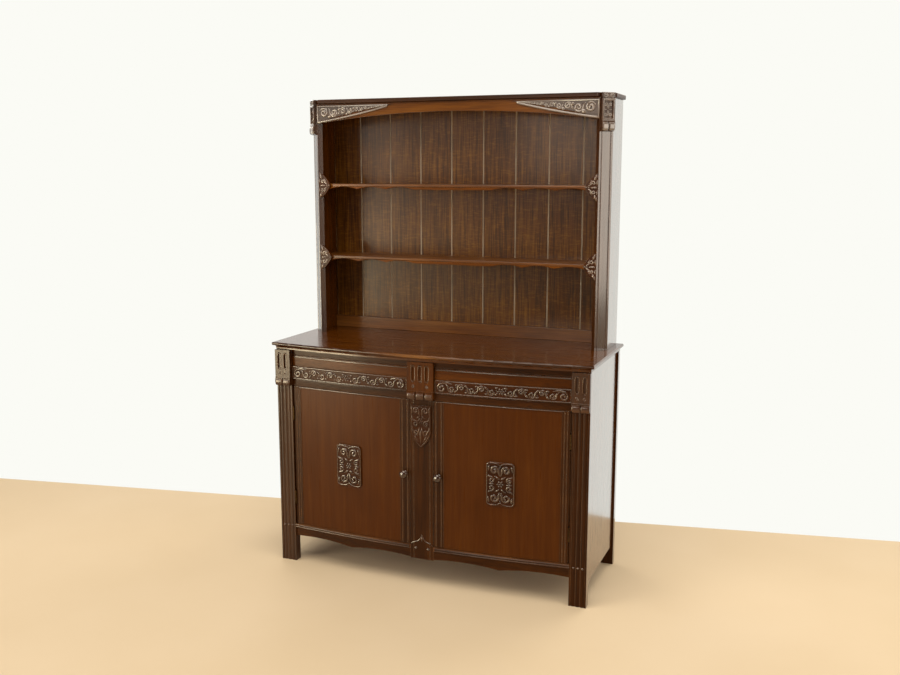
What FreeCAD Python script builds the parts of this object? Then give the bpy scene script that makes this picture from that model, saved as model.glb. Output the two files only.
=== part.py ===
# Welsh dresser: a bow-fronted oak base with two drawers and two doors, and a plate rack on top.
# Millimetres. +X is to the right, +Z is up and the front faces -Y.
# The origin is on the floor, under the middle of the overall width and depth.
import FreeCAD, Part
import math
import os
import re

import Sketcher
from FreeCAD import Placement, Rotation, Vector

doc = FreeCAD.newDocument("welsh_dresser")
dim = doc.addObject("Spreadsheet::Sheet", "dim")

# Fixed proportions, counts of repeated forms, and working room for cutters.
FLUTE_END = 0.55
VEE_MOUTH = 1.5
LOWER_SHELF, UPPER_SHELF = 0.34, 0.648
REEDS = 3
SCALLOPS = 3
SPARE = 60

# Driving sizes: alias, value, meaning.
SIZES = (
    ("base_width", "1220", "top board, side to side"),
    ("base_height", "849", "floor to the upper face of the top board"),
    ("depth", "490", "back to the front edge of the top board at the middle of the bow"),
    ("nose_overhang", "27", "top board's front edge beyond the bowed front"),
    ("top_overhang", "12", "top board's ends beyond the posts"),
    ("nosing", "12", "thickness of the top board's rounded edge"),
    ("nose_round", "4.5", "radius of that edge"),
    ("cove_height", "12", "hollow moulding under the nosing"),
    ("cove_set", "12", "step from the nosing back to the foot of the hollow"),
    ("cove_quirk", "0.6", "flat between the nosing and the hollow"),
    ("bow_rise", "32", "rise of the bowed front between the posts"),
    ("post_width", "62", "front post, side to side"),
    ("post_depth", "32", "front post, front to back"),
    ("post_step", "6", "front post's face in front of the bow's ends"),
    ("reed_margin", "7", "flat border beside the reeds of a post"),
    ("reed_depth", "3", "height of a reed above its valley"),
    ("back_post_width", "48", "back post, side to side"),
    ("back_post_depth", "24", "back post, front to back"),
    ("side_thick", "16", "side panel"),
    ("side_inset", "7", "side panel's face inside the posts' faces"),
    ("side_clear", "75", "floor to the lower edge of a side panel"),
    ("back_thick", "6", "back panel of the base"),
    ("muntin_width", "88", "middle upright between the doors"),
    ("muntin_head_width", "100", "middle upright between the drawers"),
    ("muntin_foot", "97", "floor to the lower end of the middle upright"),
    ("muntin_groove", "3", "width and depth of the grooves on the middle upright"),
    ("groove_inset", "11", "grooves of the middle upright from its edges"),
    ("stop_gap", "1", "door's back to the stop behind it"),
    ("stop_thick", "14", "door stop behind the middle upright"),
    ("stop_lap", "10", "door stop's reach behind each door"),
    ("top_rail_height", "21", "rail over the drawers"),
    ("drawer_opening", "91.5", "height between the rails over and under a drawer"),
    ("drawer_rail_height", "25.5", "rail between a drawer and a door"),
    ("floor_top", "148", "floor to the upper face of the cupboard floor"),
    ("floor_thick", "14", "cupboard floor"),
    ("bead_proud", "3.4", "springing of the double bead beyond the edge of the cupboard floor"),
    ("bead_height", "6", "one bead of the double bead"),
    ("bead_round", "3.6", "radius of a bead"),
    ("apron_thick", "20", "apron under the cupboard floor"),
    ("apron_end", "34", "apron's height at its ends"),
    ("apron_cusp", "39", "apron's height at the cusp in the middle"),
    ("apron_round", "900", "radius of the hollows of the apron's lower edge"),
    ("partition_thick", "18", "upright board between the cupboards"),
    ("shelf_height", "405", "floor to the underside of the cupboard shelves"),
    ("shelf_board", "15", "cupboard shelf"),
    ("shelf_setback", "45", "cupboard shelf's front edge behind the posts"),
    ("bearer", "18", "shelf bearer, square"),
    ("door_thick", "19", "door stile"),
    ("door_gap", "2", "door to the rail, floor and middle upright"),
    ("hinge_gap", "7", "door's hinge edge to the post"),
    ("hinge_stile", "28", "stile at the hinges"),
    ("lock_stile", "38", "stile at the knob"),
    ("stile_groove", "2", "depth of the grooves along a stile"),
    ("stile_groove_inset", "9", "grooves of a stile from its edges"),
    ("panel_recess", "2", "door panel's face behind the stiles"),
    ("panel_thick", "11", "door panel"),
    ("panel_tongue", "7", "door panel's edges inside the stiles"),
    ("panel_slip", "0.2", "room round the panel in its grooves"),
    ("plaque_width", "101", "carved plaque on a door"),
    ("plaque_height", "156", "carved plaque on a door"),
    ("plaque_round", "14", "corner radius of that plaque"),
    ("plaque_proud", "6", "plaque's face beyond the panel"),
    ("plaque_middle", "411", "floor to the middle of the plaque"),
    ("knob_height", "412", "floor to the axis of a knob"),
    ("knob_length", "27", "knob beyond the stile"),
    ("knob_radius", "15", "head of a knob"),
    ("knob_bevel", "5", "bevel round the face of a knob"),
    ("knob_waist", "12", "stile to the back of a knob's head"),
    ("knob_neck", "7", "radius of a knob's neck"),
    ("knob_foot", "10.5", "radius of a knob's foot"),
    ("knob_foot_thick", "3", "thickness of a knob's foot"),
    ("hinge_inset", "104", "end of a door to the middle of a hinge"),
    ("hinge_length", "51", "butt hinge"),
    ("knuckle_radius", "3.2", "hinge knuckle"),
    ("knuckle_gap", "0.3", "room between knuckles"),
    ("pin_radius", "1.5", "hinge pin"),
    ("pin_slip", "0.08", "room round the pin in the door's knuckle"),
    ("hinge_stand", "1.5", "hinge axis in front of the door's edge"),
    ("leaf_thick", "1.2", "hinge leaf"),
    ("leaf_reach", "17", "hinge axis to the back edge of a leaf"),
    ("drawer_gap", "2", "drawer front to the rails and uprights round it"),
    ("drawer_front", "20", "thickness of a drawer front"),
    ("drawer_length", "390", "drawer front's face to the drawer's back"),
    ("drawer_side", "10", "thickness of a drawer's sides and back"),
    ("drawer_side_inset", "5", "drawer's side inside the end of its front"),
    ("drawer_side_height", "68", "height of a drawer's sides"),
    ("drawer_side_rise", "3", "drawer's sides above the lower edge of its front"),
    ("drawer_bottom", "5", "drawer bottom"),
    ("drawer_bottom_rise", "7", "drawer bottom above the lower edge of the sides"),
    ("drawer_back_drop", "8", "drawer's back below its sides"),
    ("band_height", "48", "carved band along the lower part of a drawer front"),
    ("band_proud", "5", "carved band beyond the drawer front"),
    ("runner_slip", "0.3", "drawer's sides above their runners"),
    ("runner_thick", "20", "drawer runner"),
    ("runner_lap", "16", "runner's reach under a drawer's side"),
    ("guide_height", "30", "guide beside a drawer above its runner"),
    ("guide_slip", "1", "drawer's side to its guide"),
    ("kicker_slip", "3", "drawer's sides to the kickers over them"),
    ("corbel_top_gap", "3", "corbel's top below the top board"),
    ("corbel_proud", "12", "corbel's face beyond what carries it"),
    ("corbel_rail_proud", "14", "corbel's cross bead"),
    ("corbel_rail_height", "4", "corbel's cross bead"),
    ("lobe_proud", "15", "rounded lobes at the foot of a corbel"),
    ("lobe_height", "26", "rounded lobes at the foot of a corbel"),
    ("lobe_slot", "4", "slot between two lobes"),
    ("flute_width", "13", "flute of a corbel"),
    ("flute_length", "55", "flute of a corbel"),
    ("flute_depth", "5", "flute of a corbel"),
    ("flute_top", "14", "flute's upper end below the corbel's top"),
    ("flute_pitch", "26", "flute to flute"),
    ("pendant_width", "74", "carved pendant on the middle upright"),
    ("pendant_height", "151", "carved pendant on the middle upright"),
    ("pendant_taper", "58", "height of the pendant's pointed end"),
    ("pendant_round", "72", "radius of the pendant's pointed end"),
    ("pendant_proud", "6", "pendant's face beyond the middle upright"),
    ("pendant_gap", "20", "corbel to pendant"),
    ("rack_inset", "27", "rack's sides inside the ends of the top board"),
    ("rack_rise", "889", "top board to the upper face of the cornice"),
    ("rack_depth", "148", "rack's side boards, front to back"),
    ("rack_side", "18", "thickness of the rack's side boards"),
    ("cant", "38", "run of a canted post, sideways and forwards"),
    ("rack_post", "20", "thickness of a canted post"),
    ("quirk", "2.5", "radius of the quirks along a canted post"),
    ("quirk_inset", "9", "quirks from the edges of a canted post"),
    ("cornice_thick", "16", "cornice board"),
    ("cornice_overhang", "9", "cornice beyond the frieze and the sides"),
    ("cornice_round", "4", "rounded edges of the cornice"),
    ("frieze_end", "72", "height of the arched frieze at its ends"),
    ("arch_rise", "37", "rise of the frieze's arch"),
    ("spandrel_length", "312", "carved spandrel on the frieze"),
    ("spandrel_margin", "6", "spandrel from the edges of the frieze"),
    ("spandrel_round", "2600", "radius of the spandrel's lower edge"),
    ("spandrel_proud", "3", "spandrel's face beyond the frieze"),
    ("rack_corbel_height", "130", "corbel of the rack, level with the cornice's upper face"),
    ("rack_corbel_inset", "1.5", "corbel of the rack inside the edges of its post"),
    ("rack_lobe_height", "32", "lobes of the rack's corbels"),
    ("rack_shelf", "13", "thickness of a rack shelf"),
    ("scallop_drop", "8.5", "depth of the shaped strip under a rack shelf"),
    ("scallop_root", "1.5", "depth of that strip between its scallops"),
    ("scallop_strip", "20", "shaped strip, front to back"),
    ("scallop_pitch", "106", "scallop to scallop"),
    ("bracket_height", "100", "carved bracket at the end of a rack shelf"),
    ("bracket_width", "48", "carved bracket at the end of a rack shelf"),
    ("bracket_round", "95", "radius of a bracket's curved edges"),
    ("bracket_set", "2", "bracket's face behind the frieze's face"),
    ("board_pitch", "128", "width of one backboard of the rack"),
    ("board_thick", "8", "backboard of the rack"),
    ("board_vee", "2.5", "chamfer along a backboard's edges"),
    ("board_inset", "6", "backboards in front of the rack's back edge"),
    ("back_rail_height", "46", "rail along the foot of the backboards"),
    ("back_rail_thick", "12", "rail along the foot of the backboards"),
)

# Places worked out from the driving sizes.
PLACES = (
    ("half_width", "base_width / 2"),
    ("back", "depth / 2"),
    ("face", "nose_overhang - depth / 2"),
    ("post_outer", "half_width - top_overhang"),
    ("post_inner", "post_outer - post_width"),
    ("bow_radius", "(post_inner ^ 2 + bow_rise ^ 2) / (2 * bow_rise)"),
    ("bow_centre", "face + bow_radius"),
    ("post_front", "face + bow_rise - post_step"),
    ("post_back", "post_front + post_depth"),
    ("cove_round", "cove_set - nose_round - cove_quirk"),
    ("top_underside", "base_height - nosing - cove_height"),
    ("top_rail_low", "top_underside - top_rail_height"),
    ("drawer_rail_top", "top_rail_low - drawer_opening"),
    ("drawer_rail_low", "drawer_rail_top - drawer_rail_height"),
    ("side_outer", "post_outer - side_inset"),
    ("side_inner", "side_outer - side_thick"),
    ("back_post_inner", "post_outer - back_post_width"),
    ("back_post_front", "back - back_post_depth"),
    ("back_face", "back - back_thick"),
    ("muntin_half", "muntin_width / 2"),
    ("head_half", "muntin_head_width / 2"),
    ("stop_front", "face + door_thick + stop_gap"),
    ("stop_rear", "stop_front + stop_thick"),
    ("floor_low", "floor_top - floor_thick"),
    ("door_low", "floor_top + door_gap"),
    ("door_high", "drawer_rail_low - door_gap"),
    ("lock_edge", "muntin_half + door_gap"),
    ("lock_line", "lock_edge + lock_stile"),
    ("hinge_edge", "post_inner - hinge_gap"),
    ("hinge_line", "hinge_edge - hinge_stile"),
    ("hinge_x", "post_inner - hinge_gap / 2"),
    ("hinge_y", "bow_centre - sqrt(bow_radius ^ 2 - hinge_edge ^ 2) - hinge_stand"),
    ("drawer_low", "drawer_rail_top + drawer_gap"),
    ("drawer_high", "top_rail_low - drawer_gap"),
    ("drawer_inner", "head_half + drawer_gap"),
    ("drawer_outer", "post_inner - drawer_gap"),
    ("tray_inner", "drawer_inner + drawer_side_inset"),
    ("tray_outer", "drawer_outer - drawer_side_inset"),
    ("tray_low", "drawer_low + drawer_side_rise"),
    ("tray_high", "tray_low + drawer_side_height"),
    ("tray_floor", "tray_low + drawer_bottom_rise"),
    ("tray_rear", "face + drawer_length"),
    ("runner_top", "tray_low - runner_slip"),
    ("corbel_height", "top_underside - corbel_top_gap - drawer_rail_low"),
    ("rack_outer", "half_width - rack_inset"),
    ("rack_height", "base_height + rack_rise"),
    ("upper_shelf", f"base_height + rack_rise * {UPPER_SHELF}"),
    ("lower_shelf", f"base_height + rack_rise * {LOWER_SHELF}"),
    ("rack_inner", "rack_outer - rack_side"),
    ("rack_side_front", "back - rack_depth"),
    ("cant_end", "rack_outer - cant"),
    ("frieze_front", "rack_side_front - cant"),
    ("mitre", "rack_post * sqrt(0.5)"),
    ("frieze_back", "frieze_front + mitre"),
    ("cant_width", "cant * sqrt(2)"),
    ("cornice_low", "rack_height - cornice_thick"),
    ("frieze_low", "cornice_low - frieze_end"),
    ("arch_radius", "(cant_end ^ 2 + arch_rise ^ 2) / (2 * arch_rise)"),
    ("board_back", "back - board_inset"),
    ("board_front", "board_back - board_thick"),
)

for row, (alias, size, meaning) in enumerate(SIZES, 1):
    dim.set(f"A{row}", meaning)
    dim.set(f"B{row}", size)
    dim.setAlias(f"B{row}", alias)
for row, (alias, formula) in enumerate(PLACES, len(SIZES) + 1):
    dim.set(f"B{row}", "=" + formula)
    dim.setAlias(f"B{row}", alias)
doc.recompute()

ALIASES = {alias for alias, *_ in SIZES + PLACES}
nodes = {}


def value(expression):
    """The number that an expression in the sheet's names comes to."""
    return float(dim.evalExpression(str(expression)))


def bind(thing, path, expression):
    """Tie a property to the sheet."""
    terms = re.sub(r"[a-z_]+", lambda word: "dim." * (word[0] in ALIASES) + word[0], str(expression))
    thing.setExpression(path, terms)


def node(label, thing):
    """Name a finished sub-part."""
    thing.Label = label
    nodes[label] = thing
    return thing


def place(thing, x=0, y=0, z=0, turn=0):
    """Set a piece down at sheet expressions, turned about the vertical by a fixed angle."""
    thing.Placement = Placement(Vector(), Rotation(Vector(0, 0, 1), turn))
    for letter, expression in zip("xyz", (x, y, z)):
        bind(thing, f"Placement.Base.{letter}", expression)
    return thing


def block(name, x, y, z):
    """A squared board between pairs of sheet expressions along X, Y and Z."""
    board = doc.addObject("Part::Box", name)
    for side, letter, (low, high) in zip(("Length", "Width", "Height"), "xyz", (x, y, z)):
        bind(board, side, f"({high}) - ({low})")
        bind(board, f"Placement.Base.{letter}", low)
    return board


def rod(name, radius, x, y, z):
    """An upright round bar between two heights."""
    bar = doc.addObject("Part::Cylinder", name)
    low, high = z
    bind(bar, "Radius", radius)
    bind(bar, "Height", f"({high}) - ({low})")
    return place(bar, x, y, low)


def join(kind, name, base, tool):
    """A boolean of two pieces: kind is Common, Cut or Fuse."""
    result = doc.addObject("Part::" + kind, name)
    result.Base = base
    result.Tool = tool
    return result


def group(label, pieces):
    """Separate solids that share one node."""
    together = doc.addObject("Part::Compound", label)
    together.Links = pieces
    return node(label, together)


def mirrored(name, piece):
    """The same piece on the other side of the middle plane."""
    twin = doc.addObject("Part::Mirroring", name)
    twin.Source = piece
    twin.Normal = Vector(1, 0, 0)
    return twin


def both(label, right):
    """A right-hand piece and its mirror image on the left in one node."""
    group(label, [right, mirrored("left_" + right.Name, right)])


def pair(stem, right):
    """A right-hand piece and its mirror image on the left, each its own node."""
    node("right_" + stem, right)
    node("left_" + stem, mirrored("left_" + stem, right))


def arc_between(start, end, radius):
    """The short arc from start to end; it turns left where radius is positive."""
    chord = end - start
    left = Vector(-chord.y, chord.x, 0).normalize()
    reach = math.sqrt(radius ** 2 - chord.Length ** 2 / 4)
    centre = (start + end) / 2 + left * math.copysign(reach, radius)
    first, last = (start, end) if radius > 0 else (end, start)
    angles = [math.atan2(point.y - centre.y, point.x - centre.x) for point in (first, last)]
    if angles[1] < angles[0]:
        angles[1] += 2 * math.pi
    return Part.ArcOfCircle(Part.Circle(centre, Vector(0, 0, 1), abs(radius)), *angles)


def pin(sketch, kind, geometry, expression):
    """A dimension of a sketch, tied to the sheet."""
    index = sketch.addConstraint(Sketcher.Constraint(kind, *geometry, abs(value(expression))
                                                     if kind == "Radius" else value(expression)))
    name = f"{kind.lower()}_{index}"
    sketch.renameConstraint(index, name)
    bind(sketch, "Constraints." + name, f"abs({expression})" if kind == "Radius" else expression)


def outline(body, name, plane, *loops):
    """A sketch of closed loops. A corner is (u, v), or (u, v, radius) where an arc leads to the next."""
    sketch = body.newObject("Sketcher::SketchObject", name)
    sketch.AttachmentSupport = (next(f for f in body.Origin.OriginFeatures if f.Role == plane), [""])
    sketch.MapMode = "FlatFace"
    for corners in loops:
        base = sketch.GeometryCount
        points = [Vector(value(u), value(v), 0) for u, v, *_ in corners]
        ends = []
        for start, finish, (_, _, *radius) in zip(points, points[1:] + points[:1], corners):
            if radius:
                sketch.addGeometry(arc_between(start, finish, value(radius[0])))
                ends.append((1, 2) if value(radius[0]) > 0 else (2, 1))
            else:
                sketch.addGeometry(Part.LineSegment(start, finish))
                ends.append((1, 2))
        for index, (u, v, *radius) in enumerate(corners):
            after = (index + 1) % len(corners)
            edge = base + index
            meeting = (edge, ends[index][1], base + after, ends[after][0])
            sketch.addConstraint(Sketcher.Constraint("Coincident", *meeting))
            pin(sketch, "DistanceX", (-1, 1, edge, ends[index][0]), u)
            pin(sketch, "DistanceY", (-1, 1, edge, ends[index][0]), v)
            if radius:
                pin(sketch, "Radius", (edge,), radius[0])
    return sketch


def symmetric(corners):
    """A closed loop from its right-hand half, mirrored in u = 0."""
    bends = [corner[2:] for corner in corners]
    left = [(f"-({u})", v, *bend) for (u, v, *_), bend in zip(corners[::-1], bends[-2::-1] + [()])]
    return corners + left


def body_of(name):
    return doc.addObject("PartDesign::Body", name)


def feature(body, kind, name, sketch, length):
    """A pad or pocket of a sketch."""
    step = body.newObject("PartDesign::" + kind, name)
    step.Profile = sketch
    bind(step, "Length", length)
    return step


def padded(name, plane, length, loop):
    """A body that is one padded outline. An outline on XZ_Plane pads towards the front."""
    body = body_of(name)
    feature(body, "Pad", name + "_pad", outline(body, name + "_outline", plane, loop), length)
    return body


def rounded(body, name, radius, chosen):
    """Round the edges of a body's last feature that pass a test."""
    doc.recompute()
    last = body.Tip
    edges = [f"Edge{i}" for i, edge in enumerate(last.Shape.Edges, 1) if chosen(edge)]
    fillet = body.newObject("PartDesign::Fillet", name)
    fillet.Base = (last, edges)
    bind(fillet, "Radius", radius)
    return fillet


def bow_y(x, offset="0"):
    """Depth of the bow at x, for a face the offset in front of the bowed front."""
    return f"bow_centre - sqrt((bow_radius + {offset}) ^ 2 - ({x}) ^ 2)"


def bow_drum(name, offset, z):
    """The cylinder that bowed faces are cut to."""
    return rod(name, f"bow_radius + ({offset})", 0, "bow_centre", z)


def bowed(name, piece, front, rear, z):
    """Keep the part of a piece between two concentric bowed faces."""
    outside = join("Common", name + "_front", piece, bow_drum(name + "_front_drum", front, z))
    return join("Cut", name, outside, bow_drum(name + "_rear_drum", rear, z))


def bowed_board(name, x, front, rear, z):
    """A bent board between two uprights."""
    stock = block(name + "_stock", x, ("face - " + str(SPARE), "post_back"), z)
    return bowed(name, stock, front, rear, z)


def turned(name, half_span, loop):
    """A ring sector, turned about the axis of the bow from a section in the middle plane."""
    body = body_of(name)
    section = outline(body, name + "_section", "YZ_Plane", loop)
    foot = Vector(value("bow_centre"), 0, 0)
    axis = section.addGeometry(Part.LineSegment(foot, foot + Vector(0, 1, 0)), True)
    section.addConstraint(Sketcher.Constraint("Vertical", axis))
    pin(section, "DistanceX", (-1, 1, axis, 1), "bow_centre")
    pin(section, "DistanceY", (-1, 1, axis, 1), 0)
    pin(section, "DistanceY", (-1, 1, axis, 2), 1)
    ring = body.newObject("PartDesign::Revolution", name + "_turning")
    ring.Profile = section
    ring.ReferenceAxis = (section, ["Axis0"])
    ring.Midplane = True
    bind(ring, "Angle", f"3 * asin({half_span} / bow_radius)")
    return body


# Top board: a bowed slab with a rounded nosing, and a hollow moulding under it on three sides.
def nosing_edge(at, bend):
    """Corners up the moulded edge: at places a distance in from the edge, bend is 1 or -1."""
    return [
        (at("cove_set"), "-cove_height"), (at("cove_set"), "-cove_round", f"{bend} * cove_round"),
        (at("cove_set - cove_round"), 0), (at("nose_round"), 0, f"{-bend} * nose_round"),
        (at("0"), "nose_round"), (at("0"), "nosing - nose_round", f"{-bend} * nose_round"),
        (at("nose_round"), "nosing"),
    ]


top_rear = f"back + {SPARE}"
top_front = turned("top_front", "half_width", nosing_edge(lambda d: f"{d} - back", 1)
                   + [(top_rear, "nosing"), (top_rear, "-cove_height")])
top_ends = padded("top_ends", "XZ_Plane", f"depth + {SPARE}",
                  symmetric(nosing_edge(lambda d: f"half_width - ({d})", -1)))
place(top_front, z="base_height - nosing")
place(top_ends, y="back", z="base_height - nosing")
node("top_board", join("Common", "top_board", top_front, top_ends))

# Front posts: reeded from the floor to the top board.
reed = f"((post_width - 2 * reed_margin) / {REEDS})"
reed_radius = f"({reed} ^ 2 / 4 + reed_depth ^ 2) / (2 * reed_depth)"
reeds = [(f"post_inner + reed_margin + {reed} * {i}", "post_front + reed_depth", reed_radius)
         for i in range(REEDS)]
post_plan = [
    ("post_inner", "post_front"), ("post_inner + reed_margin", "post_front"), *reeds,
    ("post_outer - reed_margin", "post_front + reed_depth"), ("post_outer - reed_margin", "post_front"),
    ("post_outer", "post_front"), ("post_outer", "post_back"), ("post_inner", "post_back"),
]
pair("front_post", padded("right_front_post", "XY_Plane", "top_underside", post_plan))

# Back posts and side panels.
both("back_posts", block("right_back_post", ("back_post_inner", "post_outer"), ("back_post_front", "back"),
                        (0, "top_underside")))
pair("side_panel", block("right_side_panel", ("side_inner", "side_outer"), ("post_back", "back_post_front"),
                         ("side_clear", "top_underside")))
node("base_back_panel", block("base_back_panel", ("-back_post_inner", "back_post_inner"),
                              ("back_face", "back"), ("floor_low", "top_underside")))

# Middle upright: grooved between the doors, wider between the drawers, with a stop behind the doors.
groove_edge = "muntin_half - groove_inset"
groove_root = "muntin_half - groove_inset - muntin_groove / 2"
groove_far = "muntin_half - groove_inset - muntin_groove"
muntin_plan = symmetric([
    ("muntin_half", "stop_front"), ("muntin_half", "face"), (groove_edge, "face"),
    (groove_root, "face + muntin_groove"), (groove_far, "face"),
])
shaft = padded("muntin_shaft", "XY_Plane", "drawer_rail_low - muntin_foot", muntin_plan)
place(shaft, z="muntin_foot")
head = block("muntin_head", ("-head_half", "head_half"), ("face", "stop_rear"),
             ("drawer_rail_low", "top_underside"))
stop = block("door_stop", ("-muntin_half - stop_lap", "muntin_half + stop_lap"),
             ("stop_front", "stop_rear"), ("floor_top", "drawer_rail_low"))
node("centre_muntin", join("Fuse", "centre_muntin", join("Fuse", "muntin_upright", shaft, head), stop))

# Rails over and under the drawers: bowed in front, straight behind.
for stem, z in (("top_rail", ("top_rail_low", "top_underside")),
                ("drawer_rail", ("drawer_rail_low", "drawer_rail_top"))):
    stock = block(stem + "_stock", ("head_half", "post_inner"), (f"face - {SPARE}", "post_back"), z)
    both(stem + "s", join("Common", "right_" + stem, stock, bow_drum(stem + "_drum", "0", z)))

# Cupboard floor, fitted round the posts and the middle upright, with the bow as its front edge.
floor_plan = symmetric([
    ("muntin_half", "stop_front"), ("muntin_half", bow_y("muntin_half"), "bow_radius"),
    ("post_inner", bow_y("post_inner")), ("post_inner", "post_back"), ("side_inner", "post_back"),
    ("side_inner", "back_post_front"), ("back_post_inner", "back_post_front"),
    ("back_post_inner", "back_face"),
])
cupboard_floor = padded("cupboard_floor", "XY_Plane", "floor_thick", floor_plan)
node("cupboard_floor", place(cupboard_floor, z="floor_low"))

# Double bead along the floor's front edge, turned about the axis of the bow.
bead_front = "face - bead_proud"
bead = turned("bead", "post_inner", [
    ("face", "floor_low"), ("face", "floor_low + 2 * bead_height"),
    (bead_front, "floor_low + 2 * bead_height", "bead_round"),
    (bead_front, "floor_low + bead_height", "bead_round"), (bead_front, "floor_low"),
])
bead_span = block("bead_span", ("muntin_half", "post_inner"), (f"face - {SPARE}", "post_back"),
                  ("floor_low", "floor_top"))
both("bead_mouldings", join("Common", "right_bead", bead, bead_span))

# Aprons: bowed boards whose lower edge has two hollows that meet in a cusp.
apron_middle = "(muntin_half + post_inner) / 2"
apron_front = [
    ("muntin_half", "floor_low - apron_end", "-apron_round"),
    (apron_middle, "floor_low - apron_cusp", "-apron_round"),
    ("post_inner", "floor_low - apron_end"), ("post_inner", "floor_low"), ("muntin_half", "floor_low"),
]
apron_stock = place(padded("apron_stock", "XZ_Plane", f"bow_rise + apron_thick + {SPARE}", apron_front),
                    y="face + bow_rise + apron_thick")
both("aprons", bowed("right_apron", apron_stock, "0", "-apron_thick",
                     ("floor_low - apron_cusp", "floor_low")))

# Cupboard partition, shelves and their bearers.
node("centre_partition", block("centre_partition", ("-partition_thick / 2", "partition_thick / 2"),
                               ("stop_rear", "back_face"), ("floor_top", "runner_top - runner_thick")))
pair("cupboard_shelf", block("right_cupboard_shelf", ("partition_thick / 2", "side_inner"),
                             ("post_back + shelf_setback", "back_post_front"),
                             ("shelf_height", "shelf_height + shelf_board")))
bearers = [
    block("inner_bearer", ("partition_thick / 2", "partition_thick / 2 + bearer"),
          ("post_back + shelf_setback", "back_post_front"), ("shelf_height - bearer", "shelf_height")),
    block("outer_bearer", ("side_inner - bearer", "side_inner"),
          ("post_back + shelf_setback", "back_post_front"), ("shelf_height - bearer", "shelf_height")),
]
group("shelf_bearers", bearers + [mirrored(f"left_{piece.Name}", piece) for piece in bearers])

# Drawer runners with guides beside the drawers, and kickers over the drawers' sides.
guide_inner, guide_outer = "tray_inner - guide_slip", "tray_outer + guide_slip"
runner_low, guide_top = "runner_top - runner_thick", "runner_top + guide_height"
inner_reach, outer_reach = "tray_inner + runner_lap", "tray_outer - runner_lap"
middle_runner = padded("middle_runner", "XZ_Plane", "back_face - post_back", symmetric([
    (inner_reach, runner_low), (inner_reach, "runner_top"), (guide_inner, "runner_top"),
    (guide_inner, guide_top),
]))
outer_runner = padded("outer_runner", "XZ_Plane", "back_post_front - post_back", [
    (outer_reach, runner_low), ("side_inner", runner_low), ("side_inner", guide_top),
    (guide_outer, guide_top), (guide_outer, "runner_top"), (outer_reach, "runner_top"),
])
place(middle_runner, y="back_face")
place(outer_runner, y="back_post_front")
group("drawer_runners", [middle_runner, outer_runner, mirrored("left_outer_runner", outer_runner)])
kicker_z = ("tray_high + kicker_slip", "top_underside")
middle_kicker = block("middle_kicker", (f"-({inner_reach})", inner_reach), ("post_back", "back_face"),
                      kicker_z)
outer_kicker = block("outer_kicker", (outer_reach, "side_inner"), ("post_back", "back_post_front"), kicker_z)
group("drawer_kickers", [middle_kicker, outer_kicker, mirrored("left_outer_kicker", outer_kicker)])

# Doors: a bent panel tongued into two grooved stiles.
door_z = ("door_low", "door_high")
panel_front, panel_rear = "-panel_recess", "-panel_recess - panel_thick"
panel_x = ("lock_line - panel_tongue", "hinge_line + panel_tongue")
pair("door_panel", bowed_board("right_door_panel", panel_x, panel_front, panel_rear, door_z))
panel_room = bowed_board("panel_room", (f"{panel_x[0]} - panel_slip", f"{panel_x[1]} + panel_slip"),
                         f"{panel_front} + panel_slip", f"{panel_rear} - panel_slip", door_z)
for stem, x in (("hinge_stile", ("hinge_line", "hinge_edge")), ("lock_stile", ("lock_edge", "lock_line"))):
    bare = bowed_board(stem + "_bare", x, "0", "-door_thick", door_z)
    stile = join("Cut", stem + "_grooved", bare, panel_room)
    for side, groove_x in (("inner", f"{x[0]} + stile_groove_inset"),
                           ("outer", f"{x[1]} - stile_groove_inset")):
        vee = padded(f"{stem}_{side}_vee", "XY_Plane", "door_high - door_low", [
            (f"-{VEE_MOUTH} * stile_groove", f"-{VEE_MOUTH} * stile_groove"), (0, "stile_groove"),
            (f"{VEE_MOUTH} * stile_groove", f"-{VEE_MOUTH} * stile_groove"),
        ])
        place(vee, groove_x, bow_y(groove_x), "door_low")
        stile = join("Cut", f"{stem}_{side}", stile, vee)
    pair("door_" + stem, stile)

# Carved plaque in the middle of each door panel.
plaque_x = "(lock_line + hinge_line) / 2"


def round_rectangle(x, z, width, height, corner):
    """Corners of a rectangle with rounded corners, middle at x, z."""
    left, right = f"{x} - {width} / 2", f"{x} + {width} / 2"
    low, high = f"{z} - {height} / 2", f"{z} + {height} / 2"
    return [
        (f"{left} + {corner}", low), (f"{right} - {corner}", low, corner),
        (right, f"{low} + {corner}"), (right, f"{high} - {corner}", corner),
        (f"{right} - {corner}", high), (f"{left} + {corner}", high, corner),
        (left, f"{high} - {corner}"), (left, f"{low} + {corner}", corner),
    ]


plaque_stock = padded("plaque_stock", "XZ_Plane", f"bow_rise + {SPARE}", round_rectangle(
    plaque_x, "plaque_middle", "plaque_width", "plaque_height", "plaque_round"))
place(plaque_stock, y="face + bow_rise")
pair("door_plaque", bowed("right_door_plaque", plaque_stock, "plaque_proud - panel_recess", "-panel_recess",
                          ("plaque_middle - plaque_height / 2", "plaque_middle + plaque_height / 2")))

# Turned knob on each lock stile.
knob = body_of("right_door_knob")
knob_profile = [
    (0, 0), (0, "-knob_length"), ("knob_radius - knob_bevel", "-knob_length"),
    ("knob_radius", "knob_bevel - knob_length"), ("knob_radius", "-knob_waist"), ("knob_neck", "-knob_waist"),
    ("knob_neck", "-knob_foot_thick"), ("knob_foot", "-knob_foot_thick"), ("knob_foot", 0),
]
knob_sketch = outline(knob, "knob_profile", "XY_Plane", knob_profile)
knob_turn = knob.newObject("PartDesign::Revolution", "knob_turning")
knob_turn.Profile = knob_sketch
knob_turn.ReferenceAxis = (knob_sketch, ["V_Axis"])
knob_x = "(lock_edge + lock_line) / 2"
place(knob, knob_x, bow_y(knob_x), "knob_height")
pair("door_knob", knob)

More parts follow.
